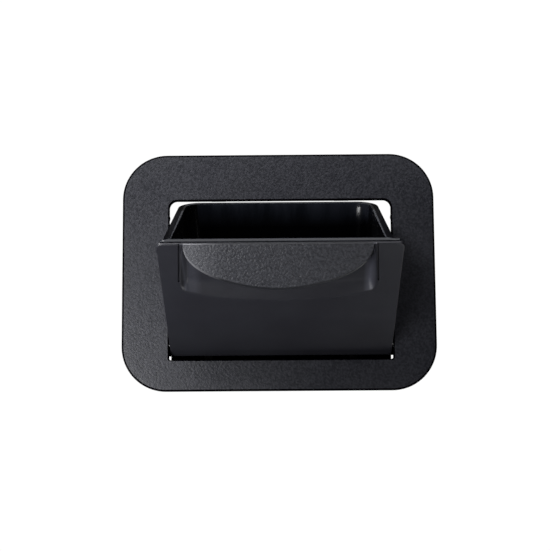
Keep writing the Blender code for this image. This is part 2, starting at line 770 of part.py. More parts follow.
def build_bin_tub(material):
    wall = TUB_WALL
    out_x = RIM_X - 4.9 * MM
    in_x = out_x - wall
    rear = RIM_REAR - 2.5 * MM
    bottom_f = TUB_BOTTOM_FRONT
    bottom_r = TUB_BOTTOM_REAR
    rim_f = RIM_TOP
    rim_r = RIM_REAR_Z
    under_f = rim_f - RIM_THICK
    under_r = rim_r - RIM_THICK
    sharp = [3.0 * MM, 18.0 * MM]
    loops = [
        tub_loop(out_x - 13.0 * MM, 22.0 * MM, rear - 13.0 * MM, sharp, bottom_f, bottom_r),
        tub_loop(out_x - 6.0 * MM, 14.5 * MM, rear - 6.0 * MM, sharp,
                 bottom_f + 1.6 * MM, bottom_r + 1.6 * MM),
        tub_loop(out_x - 2.4 * MM, 11.3 * MM, rear - 2.4 * MM, sharp,
                 bottom_f + 5.8 * MM, bottom_r + 5.8 * MM),
        tub_loop(out_x - 1.2 * MM, 10.5 * MM, rear - 1.2 * MM, sharp,
                 bottom_f + 12.0 * MM, bottom_r + 12.0 * MM),
        tub_loop(out_x, 10.5 * MM, rear, sharp, 62.0 * MM, -14.0 * MM),
        tub_loop(out_x, 4.2 * MM, rear, sharp, 70.0 * MM, -10.0 * MM),
        tub_loop(out_x, 4.2 * MM, rear, sharp, under_f, under_r, True),
        tub_loop(RIM_X, 3.5 * MM, RIM_REAR, [2.0 * MM, 20.0 * MM], under_f, under_r, True),
        tub_loop(RIM_X, 3.5 * MM, RIM_REAR, [2.0 * MM, 20.0 * MM], rim_f, rim_r, True),
        tub_loop(in_x, 6.9 * MM, rear - wall, [1.4 * MM, 16.0 * MM], rim_f, rim_r, True),
        tub_loop(in_x, 7.2 * MM, rear - wall, [1.4 * MM, 16.0 * MM], 70.0 * MM, -10.0 * MM),
        tub_loop(in_x, 12.7 * MM, rear - wall, [1.4 * MM, 16.0 * MM], 62.0 * MM, -14.0 * MM),
        tub_loop(in_x - 1.2 * MM, 12.7 * MM, rear - 1.2 * MM - wall, [1.4 * MM, 16.0 * MM],
                 bottom_f + 12.0 * MM, bottom_r + 12.0 * MM),
        tub_loop(in_x - 2.6 * MM, 13.6 * MM, rear - 2.6 * MM - wall, [1.6 * MM, 15.0 * MM],
                 bottom_f + 6.8 * MM, bottom_r + 6.8 * MM),
        tub_loop(in_x - 6.0 * MM, 16.6 * MM, rear - 6.0 * MM - wall, [2.0 * MM, 14.0 * MM],
                 bottom_f + 3.4 * MM, bottom_r + 3.4 * MM),
        tub_loop(in_x - 12.0 * MM, 23.0 * MM, rear - 12.0 * MM - wall, [2.0 * MM, 14.0 * MM],
                 bottom_f + 2.2 * MM, bottom_r + 2.2 * MM),
    ]
    body = skin_loops(loops, False)
    bmesh.ops.triangulate(body, faces=body.faces)
    tub = add_object("bin_tub", body, material)
    strip = rounded_rect(-RIM_STRIP_X, RIM_STRIP_X, rim_f - 3.1 * MM, rim_f - 0.1 * MM,
                         [0.8 * MM, 0.8 * MM, 2.1 * MM, 2.1 * MM])
    combine(tub, [prism_xz(strip, FACE_Y + 3.3 * MM, FACE_Y + 5.6 * MM)], "UNION")
    holes = []
    for x, z in PANEL_SCREWS:
        profile = [(FACE_Y + 9.5 * MM, 1.8 * MM), (FACE_Y + 14.0 * MM, 1.8 * MM)]
        holes.append(turned_mesh(profile, "Y", (x, 0.0, z), 14))
    combine(tub, holes, "DIFFERENCE")
    return tub


def build_panel_screws(material):
    screws = []
    for index, (x, z) in enumerate(PANEL_SCREWS):
        profile = [
            (FACE_Y + 4.8 * MM, 0.9 * MM),
            (FACE_Y + 5.8 * MM, 1.4 * MM),
            (FACE_Y + 13.0 * MM, 1.4 * MM),
            (FACE_Y + 13.0 * MM, 3.0 * MM),
            (FACE_Y + 14.4 * MM, 2.7 * MM),
            (FACE_Y + 15.0 * MM, 1.9 * MM),
        ]
        mesh = turned_mesh(profile, "Y", (x, 0.0, z), 16)
        screw = add_object(f"panel_screw_{index + 1}", mesh, material)
        combine(screw, cross_recess(x, z, FACE_Y + 15.0 * MM, -1.1 * MM, 1.4 * MM), "DIFFERENCE")
        screws.append(screw)
    return screws


def build_hinge_pins(material):
    pins = []
    for name, side in (("hinge_pin_left", -1.0), ("hinge_pin_right", 1.0)):
        profile = [
            (side * 98.6 * MM, 1.1 * MM),
            (side * 99.0 * MM, PIN_RADIUS),
            (side * 114.6 * MM, PIN_RADIUS),
            (side * 115.0 * MM, 1.1 * MM),
        ]
        mesh = turned_mesh(profile, "X", (0.0, PIVOT.y, PIVOT.z), 20)
        pins.append(add_object(name, mesh, material))
    return pins


def build_pin_clips(material):
    clips = []
    for name, side in (("pin_clip_left", -1.0), ("pin_clip_right", 1.0)):
        centre = (side * 100.3 * MM, PIVOT.y, PIVOT.z)
        mesh = tube_mesh("X", centre, -0.5 * MM, 0.5 * MM, CLIP_RADIUS, BUSH_BORE, 20)
        clips.append(add_object(name, mesh, material))
    return clips


# ---- assembly --------------------------------------------------------------------------
def main():
    clear_scene()
    plate_black = make_material("textured_black", (0.045, 0.046, 0.050), 0.0, 0.55)
    panel_black = make_material("smooth_black", (0.035, 0.036, 0.040), 0.0, 0.45)
    lip_black = make_material("grained_black", (0.047, 0.048, 0.052), 0.0, 0.55)
    tub_black = make_material("gloss_black", (0.010, 0.010, 0.012), 0.0, 0.18)
    frame_black = make_material("frame_black", (0.030, 0.030, 0.032), 0.0, 0.60)
    foam = make_material("foam_grey", (0.080, 0.080, 0.082), 0.0, 0.95)
    rubber = make_material("rubber_black", (0.020, 0.020, 0.020), 0.0, 0.85)
    steel = make_material("steel", (0.55, 0.55, 0.56), 1.0, 0.35)
    nylon = make_material("nylon_white", (0.72, 0.71, 0.67), 0.0, 0.50)

    build_trim_bezel(plate_black)
    build_mounting_frame(frame_black)
    build_wall_gasket(foam)
    build_mount_screws(steel)
    build_hinge_bushes(nylon)
    build_stop_bumpers(rubber)

    moving = [build_front_panel(panel_black)]
    moving.append(build_grip_lip(lip_black))
    moving.append(build_bin_tub(tub_black))
    moving += build_panel_screws(steel)
    moving += build_hinge_pins(steel)
    moving += build_pin_clips(steel)
    for obj in moving:
        open_bin_pose(obj)

    shared = {}
    for obj in bpy.data.objects:
        base = obj.data.materials[0]
        if base.name in shared:
            copy = base.copy()
            copy.name = f"{base.name}_{obj.name}"
            obj.data.materials[0] = copy
        else:
            shared[base.name] = obj.name
    bpy.context.view_layer.update()


main()
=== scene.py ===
import math

import bmesh
import bpy
from mathutils import Matrix, Vector


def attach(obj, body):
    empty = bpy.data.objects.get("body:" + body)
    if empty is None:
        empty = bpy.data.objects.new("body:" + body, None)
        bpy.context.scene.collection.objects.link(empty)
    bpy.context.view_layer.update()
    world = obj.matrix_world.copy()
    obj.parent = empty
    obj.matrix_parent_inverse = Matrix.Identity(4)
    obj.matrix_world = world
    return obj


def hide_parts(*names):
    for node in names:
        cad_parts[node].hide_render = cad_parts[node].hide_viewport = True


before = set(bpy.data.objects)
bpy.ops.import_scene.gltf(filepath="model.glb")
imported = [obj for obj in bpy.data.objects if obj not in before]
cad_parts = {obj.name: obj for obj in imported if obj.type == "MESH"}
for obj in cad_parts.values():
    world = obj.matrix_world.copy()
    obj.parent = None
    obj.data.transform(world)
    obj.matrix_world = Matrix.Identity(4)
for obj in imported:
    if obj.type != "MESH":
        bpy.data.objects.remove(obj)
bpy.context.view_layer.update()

# ---- dimensions in metres, with the bin shut -------------------------------------------
MM = 0.001
FACE_Y = -9.0 * MM              # front of the plate and of the shut panel

PLATE_X = 150.0 * MM
PLATE_SHIFT = -1.85 * MM        # the plate's centre lies this far from the opening's
PLATE_BOTTOM = -106.85 * MM
PLATE_TOP = 121.15 * MM
PLATE_CORNER = 43.0 * MM
PLATE_SWELL = 0.5 * MM          # more than the frame has, at the left, the right and the top
PLATE_THICK = 2.8 * MM
PLATE_ROUND = 2.0 * MM          # rounding of the outer edge
SKIRT_END = -0.4 * MM           # rear end of the outer wall
SKIRT_THICK = 2.2 * MM
SKIRT_CHAMFER = 0.25 * MM

OPEN_X = 107.35 * MM
OPEN_Z = 76.95 * MM
OPEN_CORNER_TOP = 7.6 * MM
OPEN_CORNER_BOTTOM = 1.6 * MM
OPEN_ROUND = 0.6 * MM           # rounding of the opening's front edge
RETURN_END = -1.0 * MM          # rear end of the wall round the opening
RETURN_THICK = 2.0 * MM
RETURN_CHAMFER = 0.2 * MM

HOOK_X = 60.0 * MM              # snap hooks above and below the opening
HOOK_Z = 20.0 * MM              # snap hooks beside the opening
HOOK_HALF = 7.0 * MM
HOOK_ROOT = -3.0 * MM
HOOK_END = 1.8 * MM
BARB_STEP = -1.95 * MM
BARB_TOP = -1.6 * MM

DETENT_TALL = 6.2 * MM
BUMP_LOW = 56.6 * MM            # detent bumps on the opening's sides
BUMP_LIFT = 0.95 * MM
NUB_LOW = 63.4 * MM             # detent nubs on the panel's sides
NUB_LIFT = 0.5 * MM

PIVOT = Vector((0.0, -5.0 * MM, -63.55 * MM))
OPEN_DEG = 52.0
PIN_BORE = 1.8 * MM
CLIP_BORE = 2.75 * MM

PANEL_X = 106.0 * MM
PANEL_BOTTOM = -74.05 * MM
PANEL_TOP = 76.15 * MM
PANEL_THICK = 3.0 * MM
PANEL_CORNER_TOP = 5.2 * MM
PANEL_CORNER_BOTTOM = 2.6 * MM
PANEL_ROUND = 0.9 * MM          # rounding of the panel's outer edge
PANEL_SCREWS = [
    (-87.9 * MM, 16.0 * MM),
    (84.1 * MM, 16.0 * MM),
    (-81.2 * MM, -48.0 * MM),
    (77.4 * MM, -48.0 * MM),
]

BIN_SHIFT = -1.9 * MM           # recess, lip and tub sit left of the panel's centre
POCKET_X = 84.4 * MM            # half width of the finger recess at the top
POCKET_FLARE = 0.08             # how fast it widens further down, on each side
POCKET_FLARE_END = 58.0 * MM
POCKET_DEPTH = 6.0 * MM
POCKET_ENTRY = 1.6 * MM         # its depth under the lip
POCKET_BOTTOM = 70.7 * MM
POCKET_CORNER = 8.0 * MM

LIP_X = 81.2 * MM
LIP_DROP = 39.5 * MM
LIP_REACH = 16.0 * MM

RIM_X = 98.8 * MM
RIM_TOP = 76.5 * MM
RIM_FLAT = 6.9 * MM             # the rim is level this far back, then falls to the rear
RIM_REAR = 142.9 * MM           # 0.9 mm further back than the frame's
RIM_REAR_Z = -4.1 * MM
RIM_STRIP_X = 103.2 * MM        # half width of the rim's front strip, behind the panel
RIM_THICK = 2.0 * MM
RIM_OVERHANG = 4.9 * MM         # how far the rim stands out past the tub's sides
RIM_FRONT = 3.5 * MM            # front of the rim's sides, back from the face
RIM_LOW_ROUND = 0.5 * MM
RIM_HIGH_ROUND = 0.8 * MM
TUB_WALL = 2.2 * MM
TUB_FRONT = 10.5 * MM           # front of the tub below its neck, back from the face
TUB_REAR = RIM_REAR - 2.5 * MM
TUB_NECK = 4.2 * MM             # front of the neck, which closes up to the panel
TUB_NECK_INNER = 7.2 * MM
TUB_BOTTOM_FRONT = -66.0 * MM
TUB_BOTTOM_REAR = -60.0 * MM
TUB_DRAFT = 1.2 * MM            # how far the walls lean in towards the floor
TUB_ROUND_OUT = 12.0 * MM       # bend from the walls to the floor, outside and inside
TUB_ROUND_IN = 10.0 * MM
NECK_TOP = (70.0 * MM, -10.0 * MM)      # heights at the front and the rear
NECK_BOTTOM = (62.0 * MM, -14.0 * MM)

PLASTIC_IOR = 1.49
CORNER_STEPS = 20
PLATE_SHARP_DEG = 40.0          # edges steeper than this are shaded sharp
PANEL_SHARP_DEG = 35.0
LIP_SHARP_DEG = 50.0
TUB_SHARP_DEG = 40.0


# ---- camera ----------------------------------------------------------------------------
def make_camera():
    data = bpy.data.cameras.new("camera")
    data.sensor_width = 36.0
    data.lens = 62.25
    data.clip_start = 0.01
    camera = bpy.data.objects.new("camera", data)
    bpy.context.scene.collection.objects.link(camera)
    right = Vector((0.99996, 0.00554, -0.00689)).normalized()
    up = Vector((0.00741, -0.10133, 0.99483)).normalized()
    back = right.cross(up).normalized()
    up = back.cross(right).normalized()
    turn = Matrix((right, up, back)).transposed().to_4x4()
    place = Matrix.Translation(Vector((-0.45, -918.69, -89.32)) * MM)
    camera.matrix_world = place @ turn
    bpy.context.scene.camera = camera


make_camera()


# ---- node helpers ----------------------------------------------------------------------
def new_material(name):
    material = bpy.data.materials.new(name)
    material.use_nodes = True
    return material, material.node_tree.nodes, material.node_tree.links


def object_coords(nodes, links, scale=(1.0, 1.0, 1.0)):
    """Object coordinates in metres, times a scale."""
    coords = nodes.new("ShaderNodeTexCoord")
    mapping = nodes.new("ShaderNodeMapping")
    mapping.inputs["Scale"].default_value = scale
    links.new(coords.outputs["Object"], mapping.inputs["Vector"])
    return mapping.outputs["Vector"]


def split_coords(nodes, links):
    split = nodes.new("ShaderNodeSeparateXYZ")
    links.new(object_coords(nodes, links), split.inputs["Vector"])
    return split.outputs


def noise(nodes, links, vector, scale, detail, rough):
    node = nodes.new("ShaderNodeTexNoise")
    node.inputs["Scale"].default_value = scale
    node.inputs["Detail"].default_value = detail
    node.inputs["Roughness"].default_value = rough
    links.new(vector, node.inputs["Vector"])
    return node.outputs["Fac"]


def ramp(nodes, links, source, low, high, out_low=0.0, out_high=1.0):
    node = nodes.new("ShaderNodeMapRange")
    node.inputs["From Min"].default_value = low
    node.inputs["From Max"].default_value = high
    node.inputs["To Min"].default_value = out_low
    node.inputs["To Max"].default_value = out_high
    links.new(source, node.inputs["Value"])
    return node.outputs["Result"]


def mix_colour(nodes, links, factor, first, second):
    """Blends two colours, each a red, green and blue tuple or a node's output."""
    node = nodes.new("ShaderNodeMix")
    node.data_type = "RGBA"
    links.new(factor, node.inputs[0])
    for socket, colour in ((node.inputs[6], first), (node.inputs[7], second)):
        if isinstance(colour, tuple):
            socket.default_value = (*colour, 1.0)
        else:
            links.new(colour, socket)
    return node.outputs[2]


def add_values(nodes, links, first, second, weight):
    """The first value plus the second times a weight."""
    node = nodes.new("ShaderNodeMath")
    node.operation = "MULTIPLY_ADD"
    links.new(second, node.inputs[0])
    node.inputs[1].default_value = weight
    links.new(first, node.inputs[2])
    return node.outputs[0]


def multiply(nodes, links, first, second):
    node = nodes.new("ShaderNodeMath")
    node.operation = "MULTIPLY"
    links.new(first, node.inputs[0])
    links.new(second, node.inputs[1])
    return node.outputs[0]


def bump(nodes, links, height, distance, strength):
    node = nodes.new("ShaderNodeBump")
    node.inputs["Distance"].default_value = distance
    node.inputs["Strength"].default_value = strength
    links.new(height, node.inputs["Height"])
    return node.outputs["Normal"]


# ---- finishes --------------------------------------------------------------------------
def grained_plastic(name, dark, light, rough_low, rough_high, grain, depth):
    """Moulded plastic with a fine eroded grain, a little uneven in its sheen."""
    material, nodes, links = new_material(name)
    shader = nodes["Principled BSDF"]
    vector = object_coords(nodes, links)
    fine = noise(nodes, links, vector, grain, 1.5, 0.5)
    coarse = noise(nodes, links, vector, grain * 0.35, 2.0, 0.5)
    broad = noise(nodes, links, vector, 18.0, 3.0, 0.5)
    height = add_values(nodes, links, fine, coarse, 0.35)
    colour = mix_colour(nodes, links, ramp(nodes, links, fine, 0.35, 0.65), dark, light)
    links.new(colour, shader.inputs["Base Color"])
    rough = add_values(nodes, links, ramp(nodes, links, broad, 0.3, 0.7, rough_low, rough_high),
                       ramp(nodes, links, fine, 0.3, 0.7, -1.0, 1.0), 0.05)
    links.new(rough, shader.inputs["Roughness"])
    links.new(bump(nodes, links, height, depth, 1.0), shader.inputs["Normal"])
    shader.inputs["IOR"].default_value = PLASTIC_IOR
    return material


def smooth_plastic(name, dark, light, rough_low, rough_high):
    """Moulded plastic from a polished tool, with faint flow marks and a slight unevenness."""
    material, nodes, links = new_material(name)
    shader = nodes["Principled BSDF"]
    vector = object_coords(nodes, links)
    long_vector = object_coords(nodes, links, (12.0, 60.0, 60.0))
    broad = noise(nodes, links, vector, 22.0, 4.0, 0.55)
    streak = noise(nodes, links, long_vector, 1.0, 3.0, 0.5)
    micro = noise(nodes, links, vector, 1400.0, 2.0, 0.5)
    colour = mix_colour(nodes, links, ramp(nodes, links, broad, 0.35, 0.65), dark, light)
    links.new(colour, shader.inputs["Base Color"])
    rough = add_values(nodes, links, ramp(nodes, links, streak, 0.3, 0.7, rough_low, rough_high),
                       ramp(nodes, links, micro, 0.3, 0.7, -1.0, 1.0), 0.03)
    links.new(rough, shader.inputs["Roughness"])
    height = add_values(nodes, links, ramp(nodes, links, micro, 0.0, 1.0, 0.0, 0.05), broad, 1.0)
    links.new(bump(nodes, links, height, 0.25 * MM, 0.5), shader.inputs["Normal"])
    shader.inputs["IOR"].default_value = PLASTIC_IOR
    return material


def tub_rear_painted_light_shade(name):
    """The tub's back wall: mottled like scuffs, with painted light, paler and bluer near the rim,
    and painted shade, near black and less glossy further down.
    """
    material, nodes, links = new_material(name)
    shader = nodes["Principled BSDF"]
    vector = object_coords(nodes, links)
    long_vector = object_coords(nodes, links, (60.0, 12.0, 12.0))
    scuff = noise(nodes, links, long_vector, 1.0, 4.0, 0.6)
    broad = noise(nodes, links, vector, 30.0, 3.0, 0.5)
    shade = mix_colour(nodes, links, ramp(nodes, links, scuff, 0.35, 0.65),
                       (0.018, 0.021, 0.030), (0.046, 0.052, 0.072))
    # painted light near the rim and painted shade further down, by height
    painted_light_fade = ramp(nodes, links, split_coords(nodes, links)["Z"], 60.0 * MM, 80.0 * MM)
    colour = mix_colour(nodes, links, painted_light_fade, (0.002, 0.002, 0.003), shade)
    links.new(colour, shader.inputs["Base Color"])
    links.new(ramp(nodes, links, painted_light_fade, 0.0, 1.0, 0.10, 0.5), shader.inputs["Specular IOR Level"])
    links.new(ramp(nodes, links, scuff, 0.3, 0.7, 0.12, 0.24), shader.inputs["Roughness"])
    links.new(bump(nodes, links, broad, 0.25 * MM, 0.5), shader.inputs["Normal"])
    shader.inputs["IOR"].default_value = PLASTIC_IOR
    return material


def frame_plastic(name):
    """Glass-filled black moulding, with painted shade: near black with no sheen on the front of its
    stop rib and cheeks.
    """
    rib_front = 6.0 * MM
    material, nodes, links = new_material(name)
    shader = nodes["Principled BSDF"]
    vector = object_coords(nodes, links)
    fine = noise(nodes, links, vector, 500.0, 3.0, 0.6)
    broad = noise(nodes, links, vector, 25.0, 3.0, 0.5)
    near_rib = nodes.new("ShaderNodeMath")
    near_rib.operation = "COMPARE"
    links.new(split_coords(nodes, links)["Y"], near_rib.inputs[0])
    near_rib.inputs[1].default_value = rib_front
    near_rib.inputs[2].default_value = 0.4 * MM
    rib_painted_shade = near_rib.outputs[0]
    plain = mix_colour(nodes, links, ramp(nodes, links, broad, 0.35, 0.65),
                       (0.012, 0.012, 0.013), (0.020, 0.020, 0.022))
    # painted shade: the rib's front plane is made near black and loses its sheen
    colour = mix_colour(nodes, links, rib_painted_shade, plain, (0.0004, 0.0004, 0.0005))
    links.new(colour, shader.inputs["Base Color"])
    links.new(ramp(nodes, links, rib_painted_shade, 0.0, 1.0, 0.5, 0.0), shader.inputs["Specular IOR Level"])
    links.new(ramp(nodes, links, fine, 0.3, 0.7, 0.46, 0.62), shader.inputs["Roughness"])
    links.new(bump(nodes, links, fine, 0.1 * MM, 0.6), shader.inputs["Normal"])
    return material


def worn_metal(name, colour, rough_low, rough_high):
    material, nodes, links = new_material(name)
    shader = nodes["Principled BSDF"]
    spots = noise(nodes, links, object_coords(nodes, links), 500.0, 4.0, 0.6)
    darker = (colour[0] * 0.6, colour[1] * 0.6, colour[2] * 0.58)
    mixed = mix_colour(nodes, links, ramp(nodes, links, spots, 0.4, 0.65), darker, colour)
    rough = ramp(nodes, links, spots, 0.3, 0.7, rough_low, rough_high)
    links.new(mixed, shader.inputs["Base Color"])
    links.new(rough, shader.inputs["Roughness"])
    links.new(bump(nodes, links, spots, 0.04 * MM, 0.6), shader.inputs["Normal"])
    shader.inputs["Metallic"].default_value = 1.0
    return material


def edge_painted_highlight(name):
    """The lip's rounded edge, with a painted highlight, pale towards the left."""
    material, nodes, links = new_material(name)
    shader = nodes["Principled BSDF"]
    grain = noise(nodes, links, object_coords(nodes, links), 600.0, 3.0, 0.6)
    # painted highlight, strongest at the lip's left end
    left_edge_highlight = ramp(nodes, links, split_coords(nodes, links)["X"], -78.0 * MM, -50.0 * MM, 1.0, 0.0)
    colour = mix_colour(nodes, links, left_edge_highlight, (0.020, 0.021, 0.026), (0.22, 0.22, 0.24))
    links.new(colour, shader.inputs["Base Color"])
    links.new(ramp(nodes, links, grain, 0.3, 0.7, 0.34, 0.48), shader.inputs["Roughness"])
    links.new(bump(nodes, links, grain, 0.2 * MM, 0.5), shader.inputs["Normal"])
    return material


def foam_material(name, colour):
    material, nodes, links = new_material(name)
    shader = nodes["Principled BSDF"]
    cells = nodes.new("ShaderNodeTexVoronoi")
    cells.inputs["Scale"].default_value = 1100.0
    links.new(object_coords(nodes, links), cells.inputs["Vector"])
    shade = ramp(nodes, links, cells.outputs["Distance"], 0.0, 0.6)
    darker = (colour[0] * 0.4, colour[1] * 0.4, colour[2] * 0.4)
    links.new(mix_colour(nodes, links, shade, colour, darker), shader.inputs["Base Color"])
    links.new(ramp(nodes, links, shade, 0.0, 1.0, 0.85, 0.97), shader.inputs["Roughness"])
    links.new(bump(nodes, links, cells.outputs["Distance"], 0.3 * MM, 0.6),
              shader.inputs["Normal"])
    return material


def set_gloss(material, level, ior):
    """Sets how strongly a finish mirrors its surroundings: not at all with level 0 and IOR 1."""
    shader = material.node_tree.nodes["Principled BSDF"]
    shader.inputs["Specular IOR Level"].default_value = level
    shader.inputs["IOR"].default_value = ior


def add_tone(material, mask_of, tone):
    """Blends another colour into a finish where the mask says so."""
    nodes = material.node_tree.nodes
    links = material.node_tree.links
    base = nodes["Principled BSDF"].inputs["Base Color"]
    before = base.links[0].from_socket
    mask = mask_of(nodes, links, split_coords(nodes, links))
    links.new(mix_colour(nodes, links, mask, before, tone), base)


def recess_painted_highlight(nodes, links, place):
    """Painted highlights: the recess's side walls are paler along a band beside each seam."""
    right = multiply(nodes, links, ramp(nodes, links, place["X"], 73.5 * MM, 79.5 * MM),
                     ramp(nodes, links, place["X"], 80.0 * MM, 84.5 * MM, 1.0, 0.0))
    near_seam = ramp(nodes, links, place["X"], -85.0 * MM, -83.2 * MM, 0.65, 0.0)
    further_in = ramp(nodes, links, place["X"], -76.5 * MM, -70.0 * MM, 0.35, 0.0)
    left = multiply(nodes, links, ramp(nodes, links, place["X"], -86.7 * MM, -85.0 * MM, 0.0, 0.85),
                    add_values(nodes, links, near_seam, further_in, 1.0))
    return add_values(nodes, links, right, left, 1.0)


def lip_left_painted_light(nodes, links, place):
    """Painted light: the lip is paler towards its left end."""
    return ramp(nodes, links, place["X"], -84.0 * MM, -50.0 * MM, 0.62, 0.0)


def panel_foot_painted_shade(nodes, links, place):
    """Painted shade: the panel darkens towards its hinged edge."""
    return ramp(nodes, links, place["Z"], -64.0 * MM, -38.0 * MM, 0.45, 0.0)


# ---- mesh helpers ----------------------------------------------------------------------
def quarter_turn(steps):
    """The sine and cosine at even steps from 0 to 90 degrees."""
    for k in range(steps + 1):
        angle = math.radians(90.0 * k / steps)
        yield math.sin(angle), math.cos(angle)


def swelling(steps, height, power):
    """A low mound: shares from 0 to 1 along it, each with its height there."""
    for k in range(steps + 1):
        share = k / steps
        lift = height * math.sin(math.pi * share) ** power if 0.0 < share < 1.0 else 0.0
        yield share, lift


def rounded_rect(x0, x1, z0, z1, radii, steps):
    """Outline with its own radius at each corner, from the lower left one on."""
    corners = [
        (x0 + radii[0], z0 + radii[0], radii[0], 180.0),
        (x1 - radii[1], z0 + radii[1], radii[1], 270.0),
        (x1 - radii[2], z1 - radii[2], radii[2], 0.0),
        (x0 + radii[3], z1 - radii[3], radii[3], 90.0),
    ]
    points = []
    for cx, cz, radius, start in corners:
        for k in range(steps + 1):
            angle = math.radians(start + 90.0 * k / steps)
            points.append((cx + radius * math.cos(angle), cz + radius * math.sin(angle)))
    return points


def finish_mesh(name, mesh, material, sharp_deg):
    bmesh.ops.recalc_face_normals(mesh, faces=mesh.faces)
    if mesh.calc_volume(signed=True) < 0.0:
        bmesh.ops.reverse_faces(mesh, faces=mesh.faces)
    data = bpy.data.meshes.new(name)
    mesh.to_mesh(data)
    mesh.free()
    for polygon in data.polygons:
        polygon.use_smooth = True
    data.set_sharp_from_angle(angle=math.radians(sharp_deg))
    obj = bpy.data.objects.new(name, data)
    bpy.context.scene.collection.objects.link(obj)
    if material is not None:
        data.materials.append(material)
    return obj


def skin_loops(loops, ring):
    """Skins a row of loops; it closes on itself as a ring, or is capped at both ends."""
    mesh = bmesh.new()
    rows = [[mesh.verts.new(point) for point in loop] for loop in loops]
    count = len(rows[0])
    pairs = list(zip(rows[:-1], rows[1:]))
    if ring:
        pairs.append((rows[-1], rows[0]))
    for first, second in pairs:
        for k in range(count):
            n = (k + 1) % count
            mesh.faces.new((first[k], first[n], second[n], second[k]))
    if not ring:
        mesh.faces.new(list(reversed(rows[0])))
        mesh.faces.new(rows[-1])
    return mesh


def prism(profile, low, high, plane):
    """Closed outline in the xz, yz or xy plane, extruded along the remaining axis."""
    def place(a, b, c):
        if plane == "xz":
            return (a, c, b)
        if plane == "yz":
            return (c, a, b)
        return (a, b, c)
    mesh = bmesh.new()
    first = [mesh.verts.new(place(a, b, low)) for a, b in profile]
    second = [mesh.verts.new(place(a, b, high)) for a, b in profile]
    count = len(profile)
    for k in range(count):
        n = (k + 1) % count
        mesh.faces.new((first[k], first[n], second[n], second[k]))
    mesh.faces.new(first)
    mesh.faces.new(second)
    bmesh.ops.recalc_face_normals(mesh, faces=mesh.faces)
    return mesh


def cylinder(axis, centre, start, end, radius, steps):
    """Along X or Y, from start to end on that axis."""
    mesh = bmesh.new()
    rows = []
    for along in (start, end):
        row = []
        for k in range(steps):
            angle = 2.0 * math.pi * k / steps
            u = radius * math.cos(angle)
            v = radius * math.sin(angle)
            if axis == "X":
                row.append(mesh.verts.new((along, centre[1] + u, centre[2] + v)))
            else:
                row.append(mesh.verts.new((centre[0] + u, along, centre[2] + v)))
        rows.append(row)
    for k in range(steps):
        n = (k + 1) % steps
        mesh.faces.new((rows[0][k], rows[0][n], rows[1][n], rows[1][k]))
    mesh.faces.new(rows[0])
    mesh.faces.new(rows[1])
    bmesh.ops.recalc_face_normals(mesh, faces=mesh.faces)
    return mesh


def box_mesh(low, high):
    profile = [(low[0], low[2]), (high[0], low[2]), (high[0], high[2]), (low[0], high[2])]
    return prism(profile, low[1], high[1], "xz")


def combine(obj, tools, operation, sharp_deg):
    """Joins the tools to the object or cuts them from it, one after the other."""
    for index, tool in enumerate(tools):
        cutter = finish_mesh(f"tool_{index}", tool, None, 30.0)
        modifier = obj.modifiers.new("step", "BOOLEAN")
        modifier.operation = operation
        modifier.solver = "EXACT"
        modifier.object = cutter
        bpy.context.view_layer.update()
        graph = bpy.context.evaluated_depsgraph_get()
        result = bpy.data.meshes.new_from_object(obj.evaluated_get(graph))
        obj.modifiers.clear()
        old = obj.data
        obj.data = result
        bpy.data.meshes.remove(old)
        gone = cutter.data
        bpy.data.objects.remove(cutter, do_unlink=True)
        bpy.data.meshes.remove(gone)
    for polygon in obj.data.polygons:
        polygon.use_smooth = True
    obj.data.set_sharp_from_angle(angle=math.radians(sharp_deg))


def second_finish(obj, material, chosen):
    """Gives another finish to the faces whose centre and normal the test picks."""
    obj.data.materials.append(material)
    index = len(obj.data.materials) - 1
    for polygon in obj.data.polygons:
        if chosen(polygon.center, polygon.normal):
            polygon.material_index = index


def to_open_pose(obj):
    """Turns a piece of the bin from shut, as it is modelled, to open, as it rests."""
    turn = Matrix.Rotation(math.radians(OPEN_DEG), 4, "X")
    place = Matrix.Translation(PIVOT) @ turn @ Matrix.Translation(-PIVOT)
    obj.data.transform(place)
    obj.data.update()


# ---- face plate ------------------------------------------------------------------------
def plate_outline(inset, y):
    points = rounded_rect(
        PLATE_SHIFT - PLATE_X - PLATE_SWELL + inset,
        PLATE_SHIFT + PLATE_X + PLATE_SWELL - inset,
        PLATE_BOTTOM + inset,
        PLATE_TOP + PLATE_SWELL - inset,
        [PLATE_CORNER - inset] * 4,
        CORNER_STEPS,
    )
    return [(x, y, z) for x, z in points]


def opening_outline(outset, y):
    low = OPEN_CORNER_BOTTOM + outset
    high = OPEN_CORNER_TOP + outset
    points = rounded_rect(
        -OPEN_X - outset,
        OPEN_X + outset,
        -OPEN_Z - outset,
        OPEN_Z + outset,
        [low, low, high, high],
        CORNER_STEPS,
    )
    return [(x, y, z) for x, z in points]


def opening_gap(x, z):
    """How far a point of the plate lies outside the opening's rounded outline."""
    radius = OPEN_CORNER_TOP if z > 0.0 else OPEN_CORNER_BOTTOM
    dx = abs(x) - (OPEN_X - radius)
    dz = abs(z) - (OPEN_Z - radius)
    if dx > 0.0 and dz > 0.0:
        return math.hypot(dx, dz) - radius
    return max(dx, dz) - radius


def plate_edge(centre, normal):
    """The rounded outer edge with the hollow behind it, and the opening's edge and wall, which get
    painted shade.
    """
    gap = opening_gap(centre.x, centre.z)
    if gap > 6.0 * MM:
        return normal.y > -0.998 and centre.y < -0.3 * MM
    return gap < 0.9 * MM


